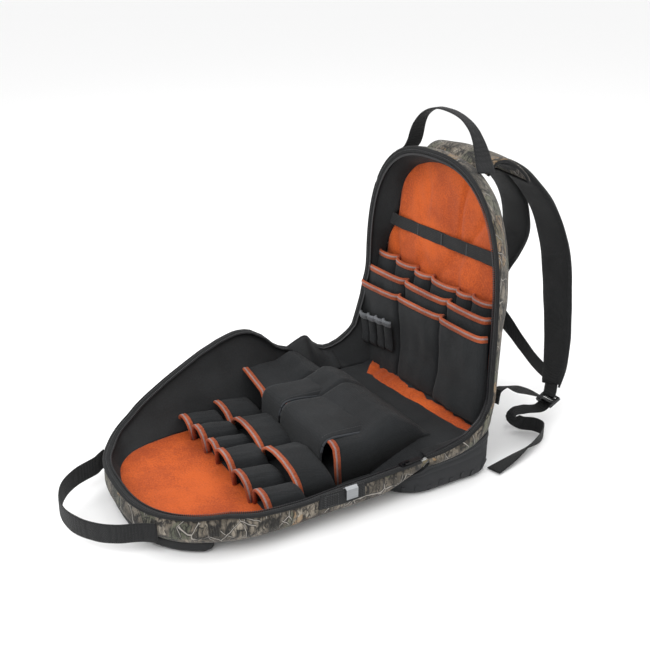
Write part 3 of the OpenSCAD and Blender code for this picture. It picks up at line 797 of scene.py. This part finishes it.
def front_half():
    inn = flat_inward(LID_RIM, LID_FLOOR)
    rows = []
    for t, bulge in ((0, 0), (0.15, 1.6), (0.32, 3.2), (0.48, 4.6), (0.62, 5.6), (0.75, 5.4),
                     (0.87, 3.8), (1, 0)):
        rows.append(LID_RIM + (LID_CORNER - LID_RIM) * t - inn * bulge)
    for d, dz in ((3, -1.8), (8, -2.8), (14, -3), (26, -3)):
        rows.append(LID_CORNER + inn * d + [[0, 0, dz]])
    wall = np.stack(rows, 1)
    wall[:, 1:-3] -= inn[:, None] * (wobble(wall, 50, 2.0)[..., None] * 1.8)[:, 1:-3]
    grid_piece("lid_outer_wall", wall, CAMO, body="lid", node="lid_shell", slot="camo_fabric",
               thick=2.0, offset=1.0)

    # Underside: one sheet inside the wall's turned-in edge.
    def floor_rows(y0, y1, count, near_half, far_half, tip, z_of, n_far=3.2, across=41):
        rows = []
        for y in np.linspace(y0, y1, count):
            s = min(1.0, max(0.0, (y - BEND_Y) / (tip - BEND_Y)))
            xn = near_half * arch(s)
            xf = -far_half * arch(s, n_far)
            rows.append([(xn + (xf - xn) * u, y, z_of(y)) for u in np.linspace(0, 1, across)])
        return np.array(rows)

    under = floor_rows(-411, -40, 60, 146, 152, -411.5, under_z, n_far=2.6)
    grid_piece("lid_under_panel", under, CAMO, body="lid", slot="camo_fabric", thick=1.6, offset=1.0)

    rows = []
    start = LID_RIM + inn * 2.5 - [[0, 0, 0.8]]
    for t in np.linspace(0, 1, 14):
        sag = 0.10 * np.linalg.norm(LID_FLOOR - start, axis=1)[:, None]
        rows.append(start + (LID_FLOOR - start) * t + inn * sag * 0.35 * math.sin(math.pi * t)
                    - [[0, 0, 1]] * sag * math.sin(math.pi * t))
    inner = np.stack(rows, 1)
    fold = (wobble(inner * [1, 0.7, 1], 34, 7.0) * 3.4 + wobble(inner, 13, 3.0) * 1.1)[..., None]
    inner[:, 1:-1] += ((inn[:, None] * 0.7 + [[[0, 0, 0.6]]]) * fold)[:, 1:-1]
    grid_piece("lid_side_lining", inner, LINING, body="lid", node="lid_wing", slot="pocket_fabric",
               thick=1.2)

    orange = floor_rows(-403.5, -250, 70, 149.5, 134, -404, floor_z, across=90)
    orange[..., 2] += wobble(orange, 55, 8.0) * 1.6 + wobble(orange, 18, 4.0) * 0.5
    grid_piece("lid_orange_floor", orange, ORANGE, body="lid", node="lid_lining",
               slot="orange_lining", thick=1.2, offset=-1.0)
    dark = floor_rows(-262, -94, 50, 150, 136, -404, lambda y: floor_z(y) + 1.6, across=50)
    dark[..., 2] += wobble(dark, 40, 2.0) * 0.8
    grid_piece("lid_pocket_panel", dark, BLACK, body="lid", slot="pocket_fabric", thick=1.2,
               offset=-1.0)

    front = np.zeros_like(LID_RIM)
    front[:, 2] = 1.0
    rim_zip("lid_zip", LID_RIM, inn, front, "lid", "zipper_lid")


LID_TUBE_X = [(-149, -102), (-102, -57), (-57, -21), (-21, 36), (41, 92), (96, 140)]
LID_MID_X = [(-166, -95), (-95, 11), (11, 123)]


def lying(y0, slant=0.0):
    """Placement for pockets on the front half: v runs back from y0, w runs up."""
    return lambda x, v, w: (x, y0 + v + slant * w, floor_z(y0 + v) + 1.8 + w)


def front_pockets():
    for k, (a, b) in enumerate(LID_TUBE_X):
        y0 = (-274, -271, -267, -269, -271, -266)[k]
        pocket(f"lid_tube_{k + 1}", a + 0.5, b - 0.5, 62, (28, 32, 28, 34, 32, 29)[k],
               lying(y0, slant=-0.12), "lid", node="lid_tubes", seed=60 + k * 1.3, foot=0.8,
               profile=[(0, 0), (0.04, 0.45), (0.14, 0.80), (0.32, 0.97), (0.5, 1), (0.68, 0.97),
                        (0.86, 0.80), (0.96, 0.45), (1, 0)])
    for k, (a, b) in enumerate(LID_MID_X):
        y0 = (-212, -210, -211)[k]
        pocket(f"lid_mid_{k + 1}", a + 0.5, b - 0.5, 60, (30, 37, 42)[k], lying(y0, slant=-0.12),
               "lid", node="lid_mid_pockets", seed=80 + k * 2.1, foot=0.85,
               profile=[(0, 0), (0.02, 0.36), (0.08, 0.68), (0.2, 0.9), (0.4, 1), (0.62, 0.98),
                        (0.82, 0.84), (0.93, 0.62), (0.985, 0.34), (1, 0)])


HINGE_FROM, HINGE_TO = (0, -0.066, 0.058), (0, 0.0, 0.058)


def big_place(y0, y1, skew=0.0):
    """Placement for the big pockets: v runs from the mouth y0 to the foot y1 over the hinge."""
    length = y1 - y0

    def place(x, v, w):
        y = y0 + v + skew * x
        t = max(0.0, min(1.0, v / length))
        fall = 1 - 0.95 * max(0.0, (t - 0.62) / 0.38) ** 1.25
        return (x, y, floor_z(y) + 1.8 + w * float(fall))
    return place


def big_pockets():
    kw = dict(body=None, nu=46, nv=44, foot=1.0, slack=0.8)
    pack = dict(blend=("lid", "pack", HINGE_FROM, HINGE_TO))
    pocket("lid_big_far", -177, -97, 150, 64, big_place(-152, -14, skew=0.02), node="big_pocket_far",
           seed=101, profile=[(0, 0), (0.02, 0.6), (0.05, 0.93), (0.10, 1.0), (0.3, 0.95),
                              (0.88, 0.78), (0.96, 0.66), (0.985, 0.4), (1, 0)], **kw, **pack)
    pocket("lid_big_mid", -98, -24, 152, 58, big_place(-146, 6), node="big_pocket_mid",
           seed=111, profile=[(0, 0), (0.02, 0.7), (0.06, 0.95), (0.14, 1), (0.84, 0.98),
                              (0.94, 0.90), (0.98, 0.55), (1, 0)], **kw, **pack)
    pocket("lid_big_near", -36, 113, 160, 58, big_place(-148, 4), node="big_pocket_near",
           seed=121, profile=[(0, 0), (0.012, 0.7), (0.035, 0.94), (0.08, 1), (0.90, 0.99),
                              (0.96, 0.90), (0.988, 0.55), (1, 0)], **kw, **pack)
    closing_flap("flap_mid_cloth", -92, -37, 86.5, -58, "flap_mid", ("flap_mid", "flap_riser_mid"))
    closing_flap("flap_near_cloth", -31, 90, 85.5, -47, "flap_near", ("flap_near", "flap_riser_near"))


def closing_flap(name, xa, xb, top, y_end, body, nodes):
    """A flap from the floor, up the front of its pocket and back over the top."""
    path = [(-158, 30), (-158.5, 50), (-157.5, 70), (-154.5, 83), (-149, 89.6), (-141, 91.8), (-125, 92.5),
            (-100, 92.5), (-75, 92.3), (y_end, 91.5)]
    path = spline([(0, y, z + (top - 86.5)) for y, z in path], 56)[:, 1:]
    nu = 30
    rows = []
    mid = (xa + xb) / 2
    for i, (y, z) in enumerate(path):
        row = []
        for u in np.linspace(-1, 1, nu):
            half = (xb - xa) / 2
            over = float(ease((z - 70) / 16))
            droop = (2.0 + 5.0 * float(ease((y + 140) / 60))) * abs(u) ** 6 * over
            # Round the two free corners of the flap's end.
            t = (y - (y_end - 14)) / 14
            if t > 0 and i > 20:
                half -= 15 * (1 - math.sqrt(max(0.0, 1 - t * t)))
            row.append((mid + half * u, y, z - droop))
        rows.append(row)
    sheet = crumple(np.array(rows), (46, 1.2), (18, 0.3))
    swing = dict(body=None, blend=("lid", body, (0, -0.156, (top - 18) / 1000),
                                   (0, -0.146, (top + 1) / 1000)))
    grid_piece(name, sheet, BLACK, node=nodes, slot="pocket_fabric", thick=3.0, offset=0.0, **swing)
    edge = np.concatenate([sheet[14:, 0], sheet[-1, 1:-1], sheet[14:, -1][::-1]])
    tube(name + "_edge", edge, 1.8, EDGE, slot="pocket_fabric", **swing)
    inset = np.concatenate([sheet[16:-4, 2], sheet[-5, 3:-3], sheet[16:-4, -3][::-1]]) + [[0, 0, 1.7]]
    beads(name + "_stitch", inset, (0, 0, 1), (2.2, 0.5, 0.7), 3.4, THREAD, slot="pocket_fabric", **swing)


def hinge_cloth():
    """Cloth that crosses the fold: the floor between the halves and the two side gussets."""
    blend = ("lid", "pack", HINGE_FROM, HINGE_TO)
    floor = np.zeros((46, 60, 3))
    for i, y in enumerate(np.linspace(-96, 70, 46)):
        for j, x in enumerate(np.linspace(-143, 149, 60)):
            floor[i, j] = (x, y, floor_z(y) + 1.0)
    floor[..., 2] += wobble(floor, 36, 6.0) * 1.0
    grid_piece("hinge_floor", floor, BLACK, blend=blend, node="hinge_web", slot="pocket_fabric",
               thick=1.6, offset=-1.0)
    # Far gusset: it folds up into a peak beside the hinge.
    rows = []
    for y in np.linspace(-64, 14, 40):
        top = along(y, (-64, 101), (-52, 110), (-42, 117), (-37, 119), (-31, 116), (-20, 103),
                    (-8, 93), (2, 90), (14, 91))
        xt = along(y, (-64, -188), (-37, -178), (-6, -186), (14, -184))
        bow = 3.0 * math.sin((y + 64) / 78 * math.pi)
        row = []
        for t in np.linspace(0, 1, 16):
            x = xt + (-142 - xt) * t
            z = top + (floor_z(y) + 2 - top) * t
            row.append((x + bow * math.sin(math.pi * t), y, z))
        rows.append(row)
    gusset = crumple(np.array(rows), (26, 1.6))
    grid_piece("hinge_gusset_far", gusset, [LINING, CAMO], blend=blend, slot="pocket_fabric",
               thick=2.5, offset=1.0, outer=1)
    tube("hinge_gusset_far_edge", gusset[:, 0] + [[0, 0, 0.8]], 1.9, TAPE, blend=blend, slot="zip_tape")
    rows = []
    for y in np.linspace(-43, -24, 12):
        zt = along(y, (-43, 58), (-24, 60))
        zb = along(y, (-43, 44), (-30, 50), (-24, 57))
        rows.append([(164 - 2 * t - 1.5 * (1 - math.cos(math.pi * t)), y, zt + (zb - zt) * t)
                     for t in np.linspace(0, 1, 6)])
    grid_piece("hinge_gusset_near", np.array(rows), CAMO, blend=blend, slot="camo_fabric",
               thick=2.0, offset=0.0)


# ---------------------------------------------------------------- boot, handles and harness

def rounded_plan(half, front, back, r_front, r_back, count=14):
    """Corner-rounded rectangle, as points going round from the near front corner."""
    out = []
    front_y, back_y = front + r_front, back - r_back
    for cx, cy, r, a0 in ((half - r_front, front_y, r_front, -90), (half - r_back, back_y, r_back, 0),
                          (-half + r_back, back_y, r_back, 90), (-half + r_front, front_y, r_front, 180)):
        for a in np.linspace(a0, a0 + 90, count):
            out.append((cx + r * math.cos(math.radians(a)), cy + r * math.sin(math.radians(a))))
    pts = np.array(out + out[:1])
    run = np.concatenate([[0], np.cumsum(np.linalg.norm(np.diff(pts, axis=0), axis=1))])
    at = np.linspace(0, run[-1], 241)[:-1]
    return np.stack([np.interp(at, run, pts[:, k]) for k in range(2)], 1)


def boot():
    plan = rounded_plan(164.5, -84, 97, 64, 36)
    middle = np.array([0.0, 8.0])
    out = unit(plan - middle)

    def top(y):
        return along(y, (-84, 22), (-62, 31), (-48, 38), (-36, 42.5), (-31, 46), (-27, 50), (0, 52),
                     (24, 53), (44, 58), (67, 65), (96, 71))

    levels = [(0.3, 90), (0.3, 20), (1.2, 12), (3.4, 7), (7, 3.6), (12, 1.6), (18, 0.6), (24, 0.2)]
    rings = []
    for z, inset in levels:
        rings.append([(x - ox * inset, y - oy * inset, min(z, top(y) - 2))
                      for (x, y), (ox, oy) in zip(plan, out)])
    # Above the foot, rings follow the sloping top edge, with two grooves.
    for f, inset in ((0.0, 0.0), (0.3, 0.0), (0.36, 0.9), (0.42, 0.0), (0.62, -0.2), (0.68, 0.9),
                     (0.74, -0.3), (0.95, -0.3), (1.0, 0.6), (0.99, 3.0), (0.97, 20.0)):
        rings.append([(x - ox * inset, y - oy * inset,
                       26 + (top(y) - 26) * f if top(y) > 30 else min(26, top(y)))
                      for (x, y), (ox, oy) in zip(plan, out)])
    grid_piece("base_boot", np.array(rings), RUBBER, close_v=True, caps=True, body="pack",
               node=("molded_base",), slot="base_rubber")
    # Raised lugs along the foot of the boot.
    verts, faces = [], []
    for k in range(0, 240, 5):
        x, y = plan[k]
        if abs(x) < 100 and y < 60:
            continue
        ox, oy = out[k]
        low, high = (6.5, 17.0) if (k // 5) % 2 else (9.5, 20.0)
        tx, ty = -oy, ox
        base = len(verts)
        for z, half, proud in ((low, 3.4, -0.4), (low + 1, 2.8, 1.0), (high - 1, 2.8, 1.0),
                               (high, 3.4, -0.4)):
            inset = float(np.interp(z, (3.4, 7, 12, 18, 24), (7, 3.6, 1.6, 0.6, 0.2))) - proud
            for e in (-1, 1):
                verts.append((x - ox * inset + tx * half * e, y - oy * inset + ty * half * e, z))
        for r in range(3):
            a = base + 2 * r
            faces.append((a, a + 1, a + 3, a + 2))
    mesh_piece("boot_lugs", verts, faces, RUBBER, body="pack", node="base_treads", slot="base_rubber",
               thick=1.6, offset=-1.0, smooth=False)
    seam = [(x + ox * 0.5, y + oy * 0.5, 26 + (top(y) - 26) * 0.84)
            for (x, y), (ox, oy) in zip(plan, out) if y > -24]
    order = sorted(seam, key=lambda p: math.atan2(p[0], -(p[1] - 15)))
    beads("boot_stitch", np.array(order), (0, 0, 1), (2.6, 0.8, 0.8), 4.2, THREAD, body="pack",
          slot="base_rubber")


def moulded_pocket():
    loop = []
    for u in np.linspace(-1, 1, 61):
        x = 134 * math.sin(u * math.pi / 2)
        loop.append((x, BEND_Y - 191 * max(0.0, 1 - abs(x / 155) ** 2.6) ** (1 / 2.6)))
    for u in np.linspace(1, -1, 41)[1:-1]:
        x = 134 * math.sin(u * math.pi / 2)
        loop.append((x, -366 + math.sqrt(34 ** 2 - max(0.0, abs(x) - 108) ** 2)))
    loop = np.array(loop)
    middle = np.array([0.0, -372.0])
    out = unit(loop - middle)
    rings = []
    for z, inset in ((19.5, 0.5), (16, -0.6), (12, -0.4), (8, 0.8), (4.6, 3.4), (2.2, 7.5), (0.8, 14),
                     (0.4, 36)):
        rings.append([(x - ox * inset, y - oy * inset, z) for (x, y), (ox, oy) in zip(loop, out)])
    grid_piece("front_moulded_pocket", np.array(rings), MOULD, close_v=True, caps=True, body="lid",
               node="glasses_pocket", slot="moulded_shell")


def box_stitch(name, a, b, across, half, lift_to, body, blend=None, mat=THREAD, slot="webbing"):
    """A rectangle of stitches between points a and b, half mm to each side."""
    a, b, w, up = (np.array(v, float) for v in (a, b, across, lift_to))
    w = unit(w)
    corners = [a - w * half + up, b - w * half + up, b + w * half + up, a + w * half + up]
    kw = dict(body=body, blend=blend, slot=slot)
    loop = np.concatenate([np.linspace(corners[i], corners[(i + 1) % 4], 12) for i in range(4)])
    beads(name + "_box", loop, up, (2.0, 0.5, 0.8), 3.0, mat, **kw)


def handles():
    blend = ("pack", "top_handle", (0, 0.105, 0.444), (0, 0.105, 0.474))
    path = [(-95, 102.5, 434), (-90, 103.2, 438), (-86, 104, 443), (-82, 105, 452), (-78, 105, 464),
            (-72, 105, 477), (-61, 105, 490), (-44, 105, 500), (-22, 105, 505), (8, 105, 504),
            (34, 105, 498), (54, 105, 487), (66, 105, 474), (73, 105, 462), (78, 105, 452),
            (83, 104, 444), (87, 103.2, 439), (91, 102.5, 434)]
    wide = [28, 28, 28, 27, 26, 23, 18, 14, 12, 12, 13, 16, 20, 24, 26, 28, 28, 28]
    strap("top_handle_web", path, (0, 1, 0), wide, 3.0, WEB, count=110, rib=0.5, blend=blend,
          node=("top_handle", "top_handle_patches"), slot="webbing")
    blend = ("lid", "lid_handle", (0, -0.420, 0.036), (0, -0.448, 0.036))
    path = [(105, -406, 35), (99, -413, 35), (94, -420, 35), (90, -429, 35),
            (82, -450, 35.5), (66, -471, 36), (44, -487, 36), (18, -496, 36), (-10, -497, 36),
            (-36, -490, 36), (-58, -477, 36), (-75, -458, 36), (-85, -438, 36), (-91, -425, 36),
            (-97, -417, 37), (-105, -408, 37)]
    strap("lid_handle_web", path, (0, 0, 1), 28, 3.0, WEB, count=110, rib=0.7, blend=blend,
          node=("lid_handle", "lid_handle_patches"), slot="webbing")


def harness():
    swing = ("pack", "harness")
    root = dict(blend=(*swing, (0, 0.140, 0.440), (0, 0.200, 0.425)))
    # Yoke: a camo panel that arches back from the top of the pack and carries both straps.
    rows = []
    side = [(118, 430), (124, 439), (134, 446), (148, 447.5), (163, 442), (178, 432), (192, 420), (200, 409)]
    side = spline([(0, y, z) for y, z in side], 24)[:, 1:]
    for k, (y, z) in enumerate(side):
        half = 76 - 6 * k / 23
        rows.append([(half * u, y, z - 3.5 * abs(u) ** 3 - 1.5 * u * u) for u in np.linspace(-1, 1, 41)])
    yoke = crumple(np.array(rows), (30, 1.2))
    grid_piece("yoke_panel", yoke, CAMO, node="strap_yoke", slot="camo_fabric", thick=3.0, offset=1.0, **root)
    edge = np.concatenate([yoke[:, 0], yoke[-1, 1:-1], yoke[::-1, -1]])
    tube("yoke_piping", edge, 2.2, TAPE, slot="zip_tape", **root)
    routes = {
        "right": [(31, 157.5, 436, 50), (32, 182, 430, 56), (32, 212, 410, 58), (32, 248, 376, 59),
                  (35, 273, 338, 60), (43, 289, 290, 60), (53, 292, 240, 60), (64, 290, 188, 57),
                  (76, 284, 142, 52), (89, 272, 106, 44), (99, 258, 78, 34)],
        "left": [(31, 157.5, 436, 50), (32, 182, 430, 56), (32, 212, 410, 58), (32, 248, 376, 59),
                 (35, 272, 338, 60), (46, 287, 292, 60), (58, 282, 256, 60), (66, 268, 222, 60),
                 (72, 260, 185, 57), (80, 259, 142, 52), (91, 258, 106, 44), (99, 256, 78, 34)]}
    for s, side_name in ((1, "right"), (-1, "left")):
        p = [(s * x, y, z) for x, y, z, _ in routes[side_name]]
        w = [q[3] for q in routes[side_name]]
        rings = spline(np.hstack([np.array(p), np.array(w)[:, None]]), 90)
        across = np.tile([1.0, 0, 0], (90, 1))
        thick = 11.5 - 4.0 * np.abs(np.linspace(-1, 1, 90)) ** 8
        pad = strap_rings(rings[:, :3], across, rings[:, 3], thick, sides=28, square=0.42, crown=0.18)
        pad = crumple(pad, (40, 1.4))
        grid_piece(f"strap_pad_{side_name}", pad, PAD, close_v=True, caps=True, node=f"strap_pad_{side_name}",
                   slot="mesh_pad", pad=0.8, **root)
        for e in (-1, 1):
            line = rings[:, :3] + [[1, 0, 0]] * (e * rings[:, 3:4] / 2)
            tube(f"strap_piping_{side_name}_{'in' if e * s < 0 else 'out'}", line, 1.9, TAPE,
                 slot="webbing", **root)
        # Webbing sewn down the outside of the pad, with bar tacks, ending in the ladder lock.
        t, _, n = frames(rings[:, :3], across)
        face = rings[:, :3] + n * np.sign(n[:, 1:2]) * 7.6
        grid_piece(f"strap_web_{side_name}", strap_rings(face[34:], across[34:], 25, 1.8), WEB, close_v=True,
                   caps=True, slot="webbing", body="harness")
        for k in (36, 50, 64, 78):
            a = face[k] + np.sign(n[k, 1]) * n[k] * 1.2
            beads(f"strap_tack_{side_name}_{k}", [a - [11, 0, 0], a + [11, 0, 0]], t[k],
                  (1.6, 3.0, 0.8), 2.2, THREAD, slot="webbing", body="harness")
        # Loop that holds the ladder lock under the pad's end.
        loop = [(98, 259, 84), (101, 256, 74), (103, 253, 66), (104, 251, 60)]
        strap(f"lock_loop_{side_name}", [(s * x, y, z) for x, y, z in loop], (1, 0, 0), 25, 3.0,
              WEB, count=16, slot="webbing", body="harness")
        lower = [(126, 118.5, 106), (128, 123, 114), (131, 133, 118), (131, 148, 114), (126, 172, 99),
                 (117, 202, 81), (110, 228, 66), (106, 240, 58), (104, 250, 54)]
        across_low = [(0.9, 0, 0.4), (0.9, 0, 0.4), (0.9, 0, 0.4), (0.85, 0, 0.5), (0.8, 0, 0.6),
                      (0.9, 0, 0.4), (1, 0, 0.1), (1, 0, 0), (1, 0, 0)]
        strap(f"lower_web_{side_name}", [(s * x, y, z) for x, y, z in lower],
              [(s * a, b, c) for a, b, c in across_low], 24, 1.8, WEB, count=60, rib=0.5,
              blend=(*swing, (s * 0.135, 0.124, 0.114), (s * 0.110, 0.230, 0.065)),
              node=f"lower_web_{side_name}", slot="webbing")
        tail = [((104, 248, 51), (1, 0, 0)), ((103, 232, 43), (1, 0, 0)), ((92, 213, 41), (1, 0, 0)),
                ((82, 202, 35), (0.9, 0, 0.35)), ((80, 200, 24), (0.4, 0, 0.8)), ((88, 212, 15), (0.1, 0, 1)),
                ((101, 228, 13.5), (0, 0, 1)), ((119, 230, 13.5), (0, 0, 1)), ((134, 213, 13.5), (0.1, 0, 1)),
                ((142, 193, 13), (0.4, 0.15, 1)), ((149, 162, 10.5), (0.8, 0.3, 0.7)),
                ((157, 128, 6.5), (0.9, 0.35, 0.3)),
                ((164, 94, 3.5), (0.9, 0.35, 0.06))]
        strap(f"web_tail_{side_name}", [(s * x, y, z) for (x, y, z), _ in tail],
              [(s * a, b, c) for _, (a, b, c) in tail], 24, 1.9, WEB, count=110, rib=0.4,
              blend=("pack", "harness", (s * 0.084, 0.206, 0.018), (s * 0.102, 0.230, 0.042)),
              node=f"web_tail_{side_name}", slot="webbing")
        strap(f"anchor_patch_{side_name}", [(s * 124, 113.5, 96), (s * 124, 115, 106), (s * 124, 116.5, 118)],
              (1, 0.25 * s, 0), [28, 27, 26], 2.4, WEB, count=14, slot="webbing", body="pack",
              node="strap_anchors")
        box_stitch(f"anchor_{side_name}", (s * 124, 115.8, 99), (s * 124, 118.0, 114), (1, 0.25 * s, 0), 10,
                   (0, 0.4, 0), "pack")
    chest = [(-74, 268, 160), (-62, 272, 150), (-38, 290, 114), (-8, 297, 88), (22, 298, 72), (52, 296, 68),
             (72, 291, 84)]
    strap("chest_strap_web", chest, (0.15, 0, 1), 25, 2.0, WEB, count=70, rib=0.6, body="harness",
          node="chest_strap", slot="webbing")


def closures():
    # Webbing tab that carries the tape clip, with its edge stitches.
    strap("clip_tab_web", [(165.6, -204, 48), (166.3, -185, 47), (166.6, -160, 46.5), (166.3, -134, 47.5)],
          (0, 0, 1), 22, 2.2, WEB, count=30, body="lid", node="clip_tab", slot="webbing")
    box_stitch("clip_tab", (168, -196, 48), (168, -176, 47), (0, 0, 1), 8, (0.3, 0, 0), "lid")
    for node in ("tape_clip", "clip_rivet"):
        dress(node, STEEL, 0.35)
    for side_name in ("right", "left"):
        dress(f"slider_{side_name}", ZIP_METAL, 0.4)
        dress(f"pull_{side_name}", PLASTIC, 0.35)
        dress(f"ladder_lock_{side_name}", PLASTIC, 0.8)


def dress(node, mat, bevel=0.0):
    """A procedural material, and slightly broken edges, for a CAD node that stays."""
    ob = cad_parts[node]
    ob.data.materials.clear()
    ob.data.materials.append(mat)
    if bevel:
        mod = ob.modifiers.new("edges", "BEVEL")
        mod.width = bevel * 0.001
        mod.segments = 2
        mod.limit_method = "ANGLE"


# ---------------------------------------------------------------- build

back_half()
rim_front = np.zeros_like(RIM)
rim_front[:, 1] = -1.0
rim_front[:8, 1] = np.linspace(-0.1, -1.0, 8)
rim_front[:8, 2] = np.linspace(1.0, 0.1, 8)
rim_front[-6:, 1] = np.linspace(-0.9, -0.2, 6)
rim_front[-6:, 2] = np.linspace(0.2, 0.9, 6)
rim_zip("back_zip", RIM, inward(RIM), unit(rim_front), "pack", "zipper_back")
back_pockets()
front_half()
front_pockets()
big_pockets()
hinge_cloth()
boot()
moulded_pocket()
handles()
harness()
closures()
dress("base_core", FOAM)
dress("lid_stiffener", BOARD)

# Apply every modifier at once, then attach each piece to its body; a piece that has a blend only gets its
# transform baked in.
graph = bpy.context.evaluated_depsgraph_get()
baked = [(ob, bpy.data.meshes.new_from_object(ob.evaluated_get(graph))) for ob, *_ in jobs]
for ob, me in baked:
    ob.modifiers.clear()
    ob.data = me
for ob, body, blend, nodes, slot, pad in jobs:
    if blend:
        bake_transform(ob)
    else:
        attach(ob, body)
    if nodes:
        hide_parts(*nodes)


# ---------------------------------------------------------------- studio

def plain_stage_material(name, color, rough):
    m = bpy.data.materials.new(name)
    m.use_nodes = True
    m.node_tree.nodes["Principled BSDF"].inputs["Base Color"].default_value = (*color, 1)
    m.node_tree.nodes["Principled BSDF"].inputs["Roughness"].default_value = rough
    return m


me = bpy.data.meshes.new("studio_floor")
me.from_pydata([(-60, -60, 0), (60, -60, 0), (60, 60, 0), (-60, 60, 0)], [], [(0, 1, 2, 3)])
me.materials.append(plain_stage_material("studio_floor", (0.93, 0.93, 0.93), 0.9))
studio_floor = bpy.data.objects.new("studio_floor", me)
scene.collection.objects.link(studio_floor)

world = bpy.data.worlds.new("studio")
world.use_nodes = True
world.node_tree.nodes["Background"].inputs["Color"].default_value = (1.0, 1.0, 1.0, 1)
world.node_tree.nodes["Background"].inputs["Strength"].default_value = 1.0
scene.world = world


def area_light(name, place, aim, size, power):
    data = bpy.data.lights.new(name, "AREA")
    data.size = size
    data.energy = power
    ob = bpy.data.objects.new(name, data)
    ob.location = place
    ob.rotation_euler = (Vector(aim) - Vector(place)).to_track_quat("-Z", "Y").to_euler()
    scene.collection.objects.link(ob)


area_light("key", (1.2, -1.6, 2.2), (0, -0.1, 0.15), 1.6, 34)
area_light("fill", (-1.6, -1.2, 1.6), (0, -0.1, 0.15), 1.8, 14)
area_light("top", (0.2, 0.6, 2.4), (0, -0.05, 0.1), 1.6, 16)
scene.view_settings.view_transform = "Standard"
